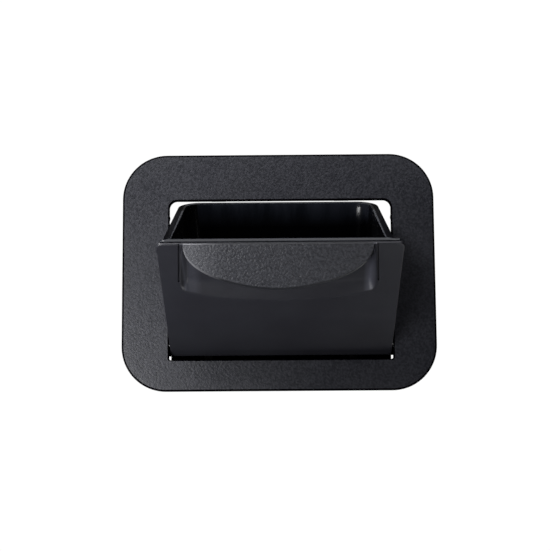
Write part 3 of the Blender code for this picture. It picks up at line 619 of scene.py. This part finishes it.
def plate_loops():
    """The plate's section: outer wall, face, opening's wall, and back along the inside."""
    back = FACE_Y + PLATE_THICK
    loops = [
        plate_outline(SKIRT_CHAMFER, SKIRT_END),
        plate_outline(0.0, SKIRT_END - SKIRT_CHAMFER),
    ]
    for sine, cosine in quarter_turn(8):
        loops.append(plate_outline(PLATE_ROUND * (1.0 - cosine),
                                   FACE_Y + PLATE_ROUND * (1.0 - sine)))
    loops.append(plate_outline(8.0 * MM, FACE_Y))
    loops.append(opening_outline(3.0 * MM, FACE_Y))
    loops.append(opening_outline(0.95 * MM, FACE_Y))
    for sine, cosine in quarter_turn(4):
        loops.append(opening_outline(OPEN_ROUND * (1.0 - sine),
                                     FACE_Y + OPEN_ROUND * (1.0 - cosine)))
    loops.append(opening_outline(0.0, RETURN_END - RETURN_CHAMFER))
    loops.append(opening_outline(RETURN_CHAMFER, RETURN_END))
    loops.append(opening_outline(RETURN_THICK, RETURN_END))
    loops.append(opening_outline(RETURN_THICK, back))
    loops.append(plate_outline(SKIRT_THICK, back))
    loops.append(plate_outline(SKIRT_THICK, SKIRT_END))
    return loops


def detent_bump(side):
    """Low bump on the opening's side that the panel's nub passes."""
    behind = side * (OPEN_X + 0.8 * MM)
    profile = [(behind, BUMP_LOW)]
    for share, lift in swelling(8, BUMP_LIFT, 0.8):
        profile.append((side * (OPEN_X - lift), BUMP_LOW + DETENT_TALL * share))
    profile.append((behind, BUMP_LOW + DETENT_TALL))
    return prism(profile, FACE_Y + 0.7 * MM, -5.0 * MM, "xz")


def snap_hook(axis, along, side):
    """Hook on the outside of the wall round the opening, facing along z or x."""
    reach = OPEN_Z if axis == "z" else OPEN_X
    inner = side * (reach + 0.4 * MM)
    outer = side * (reach + 1.9 * MM)
    tip = side * (reach + 3.4 * MM)
    section = [(HOOK_ROOT, inner), (HOOK_END, inner), (HOOK_END, outer), (BARB_TOP, tip),
               (BARB_STEP, tip), (BARB_STEP, outer), (HOOK_ROOT, outer)]
    if axis == "z":
        return prism(section, along - HOOK_HALF, along + HOOK_HALF, "yz")
    turned = [(across, y) for y, across in section]
    return prism(turned, along - HOOK_HALF, along + HOOK_HALF, "xy")


def hinge_slot(side):
    """Room behind the plate for the hinge's outer end."""
    xs = sorted((side * 107.0 * MM, side * 117.6 * MM))
    return box_mesh((xs[0], -7.6 * MM, PIVOT.z - 6.0 * MM),
                    (xs[1], -0.5 * MM, PIVOT.z + 6.0 * MM))


def build_face_plate(material, edge_material):
    plate = finish_mesh("vis_face_plate", skin_loops(plate_loops(), True), material,
                        PLATE_SHARP_DEG)
    parts = []
    for side in (-1.0, 1.0):
        parts.append(detent_bump(side))
        for x in (-HOOK_X, HOOK_X):
            parts.append(snap_hook("z", x, side))
        parts.append(snap_hook("x", HOOK_Z, side))
    combine(plate, parts, "UNION", PLATE_SHARP_DEG)
    combine(plate, [hinge_slot(-1.0), hinge_slot(1.0)], "DIFFERENCE", PLATE_SHARP_DEG)
    # painted shade on the plate's rounded outer edge and the opening's edge and wall
    second_finish(plate, edge_material, plate_edge)
    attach(plate, "frame")
    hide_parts("trim_bezel")


# ---- front panel -----------------------------------------------------------------------
def ease(value):
    value = min(1.0, max(0.0, value))
    return value * value * (3.0 - 2.0 * value)


def rise(value):
    """Starts with a crease and levels out smoothly."""
    value = min(1.0, max(0.0, value))
    return 0.35 * ease(value) + 0.65 * (1.0 - (1.0 - value) ** 2)


def pocket_half(down):
    """Half width of the recess at this depth below the panel's top."""
    return POCKET_X + POCKET_FLARE * min(down, POCKET_FLARE_END)


def column_place(x, down):
    """Where a column of the panel lies at this depth, with the recess shifted and flared."""
    half = pocket_half(down)
    if abs(x) <= POCKET_X:
        return BIN_SHIFT + x * half / POCKET_X
    edge = BIN_SHIFT + math.copysign(half, x)
    share = (abs(x) - POCKET_X) / (PANEL_X - POCKET_X)
    return edge + (math.copysign(PANEL_X, x) - edge) * share


def pocket_edge(x):
    """How far down the recess reaches in this column."""
    across = min(abs(x), POCKET_X)
    drop = POCKET_BOTTOM - 13.0 * MM * (across / (82.0 * MM)) ** 2.2
    into = across - (POCKET_X - POCKET_CORNER)
    if into > 0.0:
        drop -= POCKET_CORNER - math.sqrt(max(POCKET_CORNER * POCKET_CORNER - into * into, 0.0))
    return drop


def pocket_ramp(x):
    """Length of the slope at the recess's lower end in this column."""
    across = min(abs(x) / POCKET_X, 1.0)
    return 22.0 * MM - 12.0 * MM * across ** 2


def recess(x, down, grow):
    """Depth of the recess, or of one that is larger all round by grow."""
    across = ease((POCKET_X - 0.4 * MM + grow - abs(x)) / (7.5 * MM))
    along = rise((pocket_edge(x) + grow - down) / pocket_ramp(x))
    under_lip = ease((down - 5.0 * MM) / (9.0 * MM))
    return across * along * (POCKET_ENTRY + (POCKET_DEPTH - POCKET_ENTRY) * under_lip)


def divided(values, count):
    """Each stretch between the given values is divided evenly into count steps."""
    out = []
    for first, second in zip(values[:-1], values[1:]):
        for k in range(count):
            out.append(first + (second - first) * k / count)
    out.append(values[-1])
    return out


def round_corner(x, down):
    """Draws the panel's square corners in to their radius."""
    height = PANEL_TOP - PANEL_BOTTOM
    corners = (
        (PANEL_CORNER_TOP, PANEL_CORNER_TOP, -1.0),
        (PANEL_CORNER_BOTTOM, height - PANEL_CORNER_BOTTOM, 1.0),
    )
    for radius, centre, outward in corners:
        inside_x = PANEL_X - radius
        dx = abs(x) - inside_x
        dz = (down - centre) * outward
        if dx > 0.0 and dz > 0.0:
            scale = max(dx, dz) / math.hypot(dx, dz)
            return math.copysign(inside_x + dx * scale, x), centre + outward * dz * scale
    return x, down


def panel_columns():
    middle = divided([0.0, 20.0, 40.0, 56.0, 68.0, 74.4, 79.0, 84.0], 6)
    outer = divided([84.42, 86.6, 92.0, 100.8, 104.0, 106.0], 5)
    side = [v * MM for v in middle + outer]
    return [-v for v in reversed(side[1:])] + side


def panel_rows(x):
    """Rows below the panel's top in this column, close together along the recess's slope."""
    inside = min(1.0, max(0.0, (POCKET_X - abs(x)) / (1.2 * MM)))
    top = 0.7 * MM * inside
    edge = pocket_edge(x)
    gap = pocket_ramp(x)
    height = PANEL_TOP - PANEL_BOTTOM
    rows = [top, top + 0.15 * MM, top + 0.4 * MM]
    rows += divided([top + 0.8 * MM, 4.2 * MM, 6.0 * MM, 10.0 * MM, 14.0 * MM, 22.0 * MM], 4)
    rows += [edge - gap * (1.0 - k / 24.0) for k in range(25)]
    rows += divided([edge + 2.0 * MM, 84.0 * MM, 118.0 * MM, height - 4.0 * MM], 3)
    rows += [height - v * MM for v in (3.0, 2.0, 1.2, 0.8, 0.4, 0.15, 0.0)]
    return rows


def edge_round(x, down, top):
    """How far the face falls back at the panel's rounded outer edges."""
    height = PANEL_TOP - PANEL_BOTTOM
    near = min(PANEL_X - abs(x), down - top, height - down)
    if near >= PANEL_ROUND:
        return 0.0
    into = 1.0 - max(near, 0.0) / PANEL_ROUND
    return PANEL_ROUND * (1.0 - math.sqrt(max(0.0, 1.0 - into * into)))


def panel_skin():
    """Front and back of the panel as two grids of points, closed along their edges."""
    mesh = bmesh.new()
    front = []
    back = []
    for x in panel_columns():
        front_line = []
        back_line = []
        rows = panel_rows(x)
        for down in rows:
            depth = recess(x, down, 0.0)
            px, pd = round_corner(column_place(x, down), down)
            lip_free = min(1.0, depth / (1.0 * MM))
            rounding = edge_round(x, down, rows[0]) * (1.0 - lip_free * 0.6)
            grown = recess(x, down, 2.0 * MM)
            skin = PANEL_THICK + max(0.0, grown - POCKET_ENTRY) * 5.0 / 4.4
            front_line.append(mesh.verts.new((px, FACE_Y + depth + rounding, PANEL_TOP - pd)))
            back_line.append(mesh.verts.new((px, FACE_Y + skin, PANEL_TOP - pd)))
        front.append(front_line)
        back.append(back_line)
    nx = len(front)
    nz = len(front[0])
    for i in range(nx - 1):
        for j in range(nz - 1):
            mesh.faces.new((front[i][j], front[i + 1][j], front[i + 1][j + 1], front[i][j + 1]))
            mesh.faces.new((back[i][j], back[i][j + 1], back[i + 1][j + 1], back[i + 1][j]))
    for i in range(nx - 1):
        for j in (0, nz - 1):
            mesh.faces.new((front[i][j], back[i][j], back[i + 1][j], front[i + 1][j]))
    for j in range(nz - 1):
        for i in (0, nx - 1):
            mesh.faces.new((front[i][j], front[i][j + 1], back[i][j + 1], back[i][j]))
    bmesh.ops.triangulate(mesh, faces=mesh.faces)
    return mesh


def detent_nub(side):
    """Low nub on the panel's side edge."""
    behind = side * (PANEL_X - 0.8 * MM)
    profile = [(behind, NUB_LOW)]
    for share, lift in swelling(8, NUB_LIFT, 0.6):
        profile.append((side * (PANEL_X - 0.05 * MM + lift), NUB_LOW + DETENT_TALL * share))
    profile.append((behind, NUB_LOW + DETENT_TALL))
    return prism(profile, FACE_Y + 0.9 * MM, FACE_Y + 2.6 * MM, "xz")


def hinge_ear(side):
    """Rounded ear behind the panel that carries the pin."""
    front = FACE_Y + 2.5 * MM
    profile = [(front, PIVOT.z - 7.5 * MM)]
    for k in range(15):
        angle = math.radians(-70.0 + 10.0 * k)
        profile.append((PIVOT.y + 1.0 * MM + 4.6 * MM * math.cos(angle),
                        PIVOT.z + 5.6 * MM * math.sin(angle)))
    profile.append((front, PIVOT.z + 7.5 * MM))
    xs = sorted((side * 101.2 * MM, side * 104.2 * MM))
    return prism(profile, xs[0], xs[1], "yz")


def pocket_seam(side):
    """Narrow groove beside the recess, following its flare."""
    seam = []
    for down, width in ((-1.0, -0.65), (46.0, -0.65), (46.0, 0.75), (-1.0, 0.75)):
        edge = POCKET_X + POCKET_FLARE * max(0.0, down) * MM + width * MM
        seam.append((BIN_SHIFT + side * edge, PANEL_TOP - down * MM))
    return prism(seam, FACE_Y - 1.0 * MM, FACE_Y + 1.4 * MM, "xz")


def panel_cuts():
    """Pin bores and clip recesses, screw holes, the two seams and the groove for the tub."""
    cuts = []
    for side in (-1.0, 1.0):
        cuts.append(cylinder("X", PIVOT, side * 98.0 * MM, side * 107.0 * MM, PIN_BORE, 28))
        cuts.append(cylinder("X", PIVOT, side * 97.4 * MM, side * 101.4 * MM, CLIP_BORE, 28))
    for x, z in PANEL_SCREWS:
        cuts.append(cylinder("Y", (x, 0.0, z), FACE_Y + 4.2 * MM, FACE_Y + 11.0 * MM,
                             1.7 * MM, 20))
    cuts += [pocket_seam(-1.0), pocket_seam(1.0)]
    cuts.append(box_mesh((-102.7 * MM, FACE_Y + 1.15 * MM, 75.45 * MM),
                         (102.7 * MM, FACE_Y + 3.6 * MM, 77.0 * MM)))
    return cuts


def recess_side(centre, normal):
    """The recess's floor and walls towards its two ends."""
    down = PANEL_TOP - centre.z
    x = (centre.x - BIN_SHIFT) * POCKET_X / pocket_half(down)
    beside = 60.0 * MM < abs(x) < POCKET_X + 0.2 * MM
    sunk = normal.y < 0.0 and centre.y > FACE_Y + 0.5 * MM
    return beside and sunk and 0.0 < down < pocket_edge(x)


def build_front_panel(material, recess_material):
    panel = finish_mesh("vis_front_panel", panel_skin(), material, PANEL_SHARP_DEG)
    parts = []
    for side in (-1.0, 1.0):
        parts.append(detent_nub(side))
        parts.append(hinge_ear(side))
    for x, z in PANEL_SCREWS:
        parts.append(cylinder("Y", (x, 0.0, z), FACE_Y + 2.4 * MM, FACE_Y + 10.2 * MM,
                              3.2 * MM, 32))
    combine(panel, parts, "UNION", PANEL_SHARP_DEG)
    combine(panel, panel_cuts(), "DIFFERENCE", PANEL_SHARP_DEG)
    second_finish(panel, recess_material, recess_side)
    to_open_pose(panel)
    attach(panel, "bin")
    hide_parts("front_panel")


# ---- grip lip --------------------------------------------------------------------------
LIP_STEPS = 96
LIP_ROWS = 20
LIP_EDGE_STEPS = 6


def lip_share(x):
    """How far down the lip hangs here, as a share of its drop in the middle."""
    return (1.0 - abs(x / LIP_X) ** 1.7) ** 0.43


def lip_section(x):
    """Down the lip's front, round its lower edge and up its back."""
    share = lip_share(x)
    strip = min(0.6, 1.7 * MM / (LIP_DROP * share))
    outer = []
    inner = []
    for t in [(1.0 - strip) * k / LIP_ROWS for k in range(LIP_ROWS + 1)] + [1.0]:
        down = 0.3 * MM + LIP_DROP * share * t
        out = LIP_REACH * share * t ** 0.92
        thick = 1.2 * MM + 1.0 * MM * ease(down / (7.0 * MM))
        outer.append((x + BIN_SHIFT, FACE_Y - out, PANEL_TOP - down))
        inner.append((x + BIN_SHIFT, FACE_Y - out + thick, PANEL_TOP - down))
    last_out = Vector(outer[-1])
    last_in = Vector(inner[-1])
    middle = (last_out + last_in) / 2.0
    half = (last_in - last_out) / 2.0
    fall = Vector((0.0, 0.0, -1.0)) * half.length * 0.8
    edge = []
    for m in range(1, LIP_EDGE_STEPS):
        turn = math.pi * m / LIP_EDGE_STEPS
        edge.append(tuple(middle - half * math.cos(turn) + fall * math.sin(turn)))
    return outer + edge + list(reversed(inner))


def build_grip_lip(material, edge_material):
    loops = []
    for k in range(LIP_STEPS + 1):
        angle = math.radians(-87.0 + 174.0 * k / LIP_STEPS)
        loops.append(lip_section(LIP_X * math.sin(angle)))
    count = len(loops[0])
    mesh = skin_loops(loops, False)
    for index, face in enumerate(mesh.faces):
        along = index % count
        at_edge = LIP_ROWS <= along <= LIP_ROWS + LIP_EDGE_STEPS or along == count - 1
        if index < count * LIP_STEPS and at_edge:
            face.material_index = 1
    lip = finish_mesh("vis_grip_lip", mesh, material, LIP_SHARP_DEG)
    lip.data.materials.append(edge_material)
    to_open_pose(lip)
    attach(lip, "bin")
    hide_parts("grip_lip")


# ---- tub -------------------------------------------------------------------------------
OUTER_RADII = [3.0 * MM, 18.0 * MM]     # front and rear corners, seen from above
FLANGE_RADII = [2.0 * MM, 20.0 * MM]
INNER_RADII = [1.4 * MM, 16.0 * MM]


def tub_loop(half, y0, y1, radii, front_z, rear_z, at_rim=False):
    """Loop round the tub that falls evenly to its rear; the rim's starts with a level stretch."""
    points = rounded_rect(-half, half, y0, y1, [radii[0], radii[0], radii[1], radii[1]], 16)
    near = RIM_FLAT if at_rim else y0
    far = RIM_REAR if at_rim else y1
    loop = []
    for x, y in points:
        share = max(0.0, (y - near) / (far - near))
        loop.append((x + BIN_SHIFT, FACE_Y + y, front_z + (rear_z - front_z) * share))
    return loop


def outer_loops(out_x, rear):
    """The tub's outside, from its floor up to the rim's underside."""
    loops = []
    for sine, cosine in quarter_turn(8):
        inset = TUB_DRAFT + TUB_ROUND_OUT * (1.0 - sine)
        lift = TUB_ROUND_OUT * (1.0 - cosine)
        loops.append(tub_loop(out_x - inset, TUB_FRONT + (inset - TUB_DRAFT), rear - inset,
                              OUTER_RADII, TUB_BOTTOM_FRONT + lift, TUB_BOTTOM_REAR + lift))
    loops.append(tub_loop(out_x, TUB_FRONT, rear, OUTER_RADII, *NECK_BOTTOM))
    loops.append(tub_loop(out_x, TUB_NECK, rear, OUTER_RADII, *NECK_TOP))
    fillet = 0.5 * MM
    under = RIM_THICK + fillet
    loops.append(tub_loop(out_x, TUB_NECK, rear, OUTER_RADII, RIM_TOP - under,
                          RIM_REAR_Z - under, True))
    loops.append(tub_loop(out_x + fillet, 4.0 * MM, rear + fillet, OUTER_RADII,
                          RIM_TOP - RIM_THICK, RIM_REAR_Z - RIM_THICK, True))
    return loops


def flange_loops():
    """The rim's outer edge, rounded below and above."""
    loops = []
    for sine, cosine in quarter_turn(3):
        inset = RIM_LOW_ROUND * (1.0 - sine)
        drop = RIM_THICK - RIM_LOW_ROUND * (1.0 - cosine)
        loops.append(tub_loop(RIM_X - inset, RIM_FRONT + inset * 0.4, RIM_REAR - inset,
                              FLANGE_RADII, RIM_TOP - drop, RIM_REAR_Z - drop, True))
    for sine, cosine in quarter_turn(5):
        inset = RIM_HIGH_ROUND * (1.0 - cosine)
        drop = RIM_HIGH_ROUND * (1.0 - sine)
        loops.append(tub_loop(RIM_X - inset, RIM_FRONT + inset * 0.5, RIM_REAR - inset,
                              FLANGE_RADII, RIM_TOP - drop, RIM_REAR_Z - drop, True))
    return loops


def inner_loops(in_x, rear):
    """The tub's inside, from the top of the rim down to the floor."""
    loops = [tub_loop(in_x + 2.0 * MM, 6.0 * MM, rear + 2.0 * MM, [1.6 * MM, 17.0 * MM],
                      RIM_TOP, RIM_REAR_Z, True)]
    for sine, cosine in quarter_turn(5):
        outset = RIM_HIGH_ROUND * (1.0 - sine)
        drop = RIM_HIGH_ROUND * (1.0 - cosine)
        loops.append(tub_loop(in_x + outset, RIM_FLAT - outset * 0.5, rear + outset,
                              INNER_RADII, RIM_TOP - drop, RIM_REAR_Z - drop, True))
    front = TUB_FRONT + TUB_WALL
    loops.append(tub_loop(in_x, TUB_NECK_INNER, rear, INNER_RADII, *NECK_TOP))
    loops.append(tub_loop(in_x, front, rear, INNER_RADII, *NECK_BOTTOM))
    for sine, cosine in quarter_turn(8):
        inset = TUB_DRAFT + TUB_ROUND_IN * (1.0 - cosine)
        lift = TUB_WALL + TUB_ROUND_IN * (1.0 - sine)
        loops.append(tub_loop(in_x - inset, front + (inset - TUB_DRAFT), rear - inset,
                              INNER_RADII, TUB_BOTTOM_FRONT + lift, TUB_BOTTOM_REAR + lift))
    return loops


def tub_inside(centre):
    across = abs(centre.x - BIN_SHIFT) < RIM_X - 7.0 * MM
    return across and FACE_Y + 6.8 * MM < centre.y < FACE_Y + RIM_REAR - 4.2 * MM


def tub_rear_wall(centre, normal):
    """The inside's back wall, with most of the right corner's bend and little of the left's, so
    that the right bend takes the back wall's painted light and the left bend the side walls'
    painted shade.
    """
    least = -0.25 if centre.x > 0.0 else -0.93
    return tub_inside(centre) and normal.y < least


def tub_side_wall(centre, normal):
    facing_in = normal.x * (centre.x - BIN_SHIFT) < 0.0
    return tub_inside(centre) and facing_in and not tub_rear_wall(centre, normal)


def rim_top(centre, normal):
    """The rim's upper face at the sides and the back."""
    return normal.z > 0.3 and centre.z > -8.0 * MM and centre.y > FACE_Y + 8.0 * MM


def rim_bead(centre, normal):
    """The strip of the rim's top next to the mouth of the tub, which gets a painted highlight."""
    near = (abs(centre.x - BIN_SHIFT) < RIM_X - 5.6 * MM
            and centre.y < FACE_Y + RIM_REAR - 3.2 * MM)
    return near and rim_top(centre, normal)


def rim_flange(centre, normal):
    """The rim's top outside that strip, which gets painted shade."""
    return rim_top(centre, normal) and not rim_bead(centre, normal)


def rim_edge(centre, _normal):
    """The rim's outer edge at the sides and the back, which gets painted shade."""
    beside = abs(centre.x - BIN_SHIFT) > RIM_X - 0.7 * MM
    behind = centre.y > FACE_Y + RIM_REAR - 0.7 * MM
    return (beside or behind) and centre.y > FACE_Y + 8.0 * MM


def build_tub(material, finishes):
    out_x = RIM_X - RIM_OVERHANG
    outside = outer_loops(out_x, TUB_REAR)
    inside = inner_loops(out_x - TUB_WALL, TUB_REAR - TUB_WALL)
    body = skin_loops(outside + flange_loops() + inside, False)
    bmesh.ops.triangulate(body, faces=body.faces)
    tub = finish_mesh("vis_tub", body, material, TUB_SHARP_DEG)
    outline = rounded_rect(-RIM_STRIP_X, RIM_STRIP_X, RIM_TOP - 3.1 * MM, RIM_TOP - 0.1 * MM,
                           [0.8 * MM, 0.8 * MM, 2.1 * MM, 2.1 * MM], 8)
    strip = prism(outline, FACE_Y + 3.3 * MM, FACE_Y + 5.6 * MM, "xz")
    combine(tub, [strip], "UNION", TUB_SHARP_DEG)
    holes = []
    for x, z in PANEL_SCREWS:
        holes.append(cylinder("Y", (x, 0.0, z), FACE_Y + 9.5 * MM, FACE_Y + 14.0 * MM,
                              1.8 * MM, 24))
    combine(tub, holes, "DIFFERENCE", TUB_SHARP_DEG)
    for chosen, finish in finishes:
        second_finish(tub, finish, chosen)
    to_open_pose(tub)
    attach(tub, "bin")
    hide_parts("bin_tub")


# ---- materials on the pieces -----------------------------------------------------------
PANEL_DARK = (0.024, 0.024, 0.0315)
PANEL_LIGHT = (0.029, 0.030, 0.038)

plate_finish = grained_plastic("plate_grain", (0.017, 0.018, 0.0235), (0.034, 0.035, 0.0445),
                               rough_low=0.41, rough_high=0.50, grain=520.0, depth=0.33 * MM)
lip_finish = grained_plastic("lip_grain", (0.034, 0.035, 0.043), (0.063, 0.065, 0.078),
                             rough_low=0.41, rough_high=0.50, grain=500.0, depth=0.7 * MM)
# painted light towards the lip's left end
add_tone(lip_finish, lip_left_painted_light, (0.150, 0.153, 0.172))
panel_finish = smooth_plastic("panel_satin", PANEL_DARK, PANEL_LIGHT, 0.38, 0.46)
# painted shade towards the panel's hinged edge
add_tone(panel_finish, panel_foot_painted_shade, (0.010, 0.010, 0.013))
# painted highlights on the recess's side walls
recess_painted_highlight_finish = smooth_plastic("panel_recess", PANEL_DARK, PANEL_LIGHT, 0.38, 0.46)
add_tone(recess_painted_highlight_finish, recess_painted_highlight, (0.098, 0.101, 0.128))

tub_finish = smooth_plastic("tub_gloss", (0.016, 0.017, 0.022), (0.022, 0.024, 0.031),
                            0.14, 0.22)
# the tub's back wall carries painted light near the rim and painted shade below
tub_rear_painted_light_finish = tub_rear_painted_light_shade("tub_inner_rear")
# painted shade: the tub's inner side walls are a near black copy of its plastic
tub_side_painted_shade = smooth_plastic("tub_inner_side_painted_shade", (0.0016, 0.0016, 0.0020),
                                 (0.0026, 0.0026, 0.0032), 0.12, 0.22)
# painted highlight: a paler, glossier copy of the tub plastic on the rim's inner strip
bead_painted_highlight = smooth_plastic("tub_rim_bead_painted_highlight", (0.045, 0.047, 0.054), (0.070, 0.073, 0.083),
                             0.22, 0.34)
# painted shade: a near black copy of the tub plastic with little sheen on the rim's top
flange_painted_shade = smooth_plastic("tub_rim_flange_painted_shade", (0.002, 0.002, 0.003), (0.004, 0.004, 0.005),
                               0.34, 0.46)
set_gloss(flange_painted_shade, 0.06, PLASTIC_IOR)
# painted shade: matt black with no reflection on the plate's outer edge, the opening's edge and
# wall, and the rim's outer edge
edge_painted_shade = smooth_plastic("plate_edge", (0.002, 0.002, 0.003), (0.004, 0.004, 0.005),
                             0.30, 0.40)
set_gloss(edge_painted_shade, 0.0, 1.0)

frame_finish = frame_plastic("frame_moulded")
gasket_finish = foam_material("gasket_foam", (0.07, 0.07, 0.072))
# black rubber, darkened further and without reflection as painted shade for the gap behind the
# panel
rubber_painted_shade = grained_plastic("bumper_rubber", (0.003, 0.003, 0.003), (0.005, 0.005, 0.005),
                                rough_low=0.75, rough_high=0.9, grain=1500.0, depth=0.05 * MM)
set_gloss(rubber_painted_shade, 0.0, 1.0)
steel_finish = worn_metal("zinc_steel", (0.60, 0.60, 0.62), 0.28, 0.42)
pin_finish = worn_metal("ground_steel", (0.62, 0.62, 0.64), 0.16, 0.26)
nylon_finish = smooth_plastic("bush_nylon", (0.60, 0.58, 0.52), (0.70, 0.69, 0.64), 0.35, 0.48)

build_face_plate(plate_finish, edge_painted_shade)
build_front_panel(panel_finish, recess_painted_highlight_finish)
# painted highlight along the left part of the lip's rounded edge
build_grip_lip(lip_finish, edge_painted_highlight("lip_rubbed_edge"))
build_tub(tub_finish, [
    (tub_rear_wall, tub_rear_painted_light_finish),
    (tub_side_wall, tub_side_painted_shade),
    (rim_bead, bead_painted_highlight),
    (rim_flange, flange_painted_shade),
    (rim_edge, edge_painted_shade),
])

CARRIED = {
    "mounting_frame": frame_finish,
    "wall_gasket": gasket_finish,
    "hinge_bush_": nylon_finish,
    "stop_bumper_": rubber_painted_shade,
    "hinge_pin_": pin_finish,
    "pin_clip_": steel_finish,
    "mount_screw_": steel_finish,
    "panel_screw_": steel_finish,
}
for name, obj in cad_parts.items():
    for prefix, finish in CARRIED.items():
        if name.startswith(prefix):
            for slot in obj.material_slots:
                slot.material = finish


# ---- stage and lights ------------------------------------------------------------------
FLOOR_Z = -0.30
FLOOR_RADIUS = 5.9
DOME_RADIUS = 6.0
WHITE_GLOW = 1.02

PLATE_AIM = (0.0, -0.04, 0.0)
LEFT_AIM = (-0.08, -0.02, -0.03)
BACK_AIM = (0.0, 0.05, 0.0)


def paper_white(name):
    """Plain white whatever the light, because it only glows."""
    material, nodes, _links = new_material(name)
    shader = nodes["Principled BSDF"]
    shader.inputs["Base Color"].default_value = (0.0, 0.0, 0.0, 1.0)
    shader.inputs["Roughness"].default_value = 1.0
    shader.inputs["Specular IOR Level"].default_value = 0.0
    shader.inputs["Emission Color"].default_value = (1.0, 1.0, 1.0, 1.0)
    shader.inputs["Emission Strength"].default_value = WHITE_GLOW
    return material


def stage_piece(name, mesh, material):
    """A piece of the stage, which the camera sees but which lights and shades nothing."""
    data = bpy.data.meshes.new(name)
    mesh.to_mesh(data)
    mesh.free()
    obj = bpy.data.objects.new(name, data)
    bpy.context.scene.collection.objects.link(obj)
    data.materials.append(material)
    obj.visible_diffuse = False
    obj.visible_glossy = False
    obj.visible_transmission = False
    obj.visible_shadow = False


def build_stage():
    white = paper_white("stage_white")
    floor = bmesh.new()
    bmesh.ops.create_circle(floor, cap_ends=True, segments=64, radius=FLOOR_RADIUS)
    bmesh.ops.translate(floor, verts=floor.verts, vec=(0.0, 0.0, FLOOR_Z))
    stage_piece("stage_floor", floor, white)
    dome = bmesh.new()
    bmesh.ops.create_icosphere(dome, subdivisions=4, radius=DOME_RADIUS)
    stage_piece("stage_dome", dome, white)


def area_light(name, place, target, size, power, spread_deg=180.0):
    data = bpy.data.lights.new(name, "AREA")
    data.shape = "RECTANGLE"
    data.size = size[0]
    data.size_y = size[1]
    data.energy = power
    data.spread = math.radians(spread_deg)
    light = bpy.data.objects.new(name, data)
    light.location = place
    aim = Vector(target) - Vector(place)
    light.rotation_euler = aim.to_track_quat("-Z", "Y").to_euler()
    bpy.context.scene.collection.objects.link(light)


build_stage()
area_light("key_left_high", (-0.80, -0.46, 0.92), PLATE_AIM, (0.6, 0.6), 19.8)
area_light("top_soft", (0.0, -0.65, 1.13), PLATE_AIM, (1.4, 1.0), 6.6)
area_light("low_right", (0.66, -0.28, -1.08), PLATE_AIM, (0.6, 0.6), 3.2)
area_light("left_near", (-0.30, -0.30, -0.10), LEFT_AIM, (0.2, 0.2), 0.58)
area_light("low_left_near", (-0.30, -0.35, -0.25), LEFT_AIM, (0.2, 0.2), 0.57)
area_light("low_left", (-0.30, -0.60, -0.34), (-0.06, -0.02, -0.06), (0.2, 0.2), 0.58)
area_light("tub_fill", (0.0, -0.0846, 0.019), (0.0, 0.032, 0.080), (0.15, 0.01), 0.03)
area_light("tub_corner", (0.053, 0.0415, 0.0215), (0.0797, 0.0330, 0.0740), (0.004, 0.014),
           0.00008, 24.0)
area_light("back_low", (0.0, 0.90, -0.45), BACK_AIM, (0.5, 0.5), 10.0)
area_light("back_left", (-0.25, 0.75, -0.15), BACK_AIM, (0.3, 0.3), 5.0)
area_light("back_high", (0.0, 0.80, 0.62), (0.0, -0.10, 0.07), (0.9, 0.3), 0.10)

world = bpy.data.worlds.new("studio")
world.use_nodes = True
world.node_tree.nodes["Background"].inputs["Strength"].default_value = 0.0
bpy.context.scene.world = world
bpy.context.scene.view_settings.view_transform = "Standard"
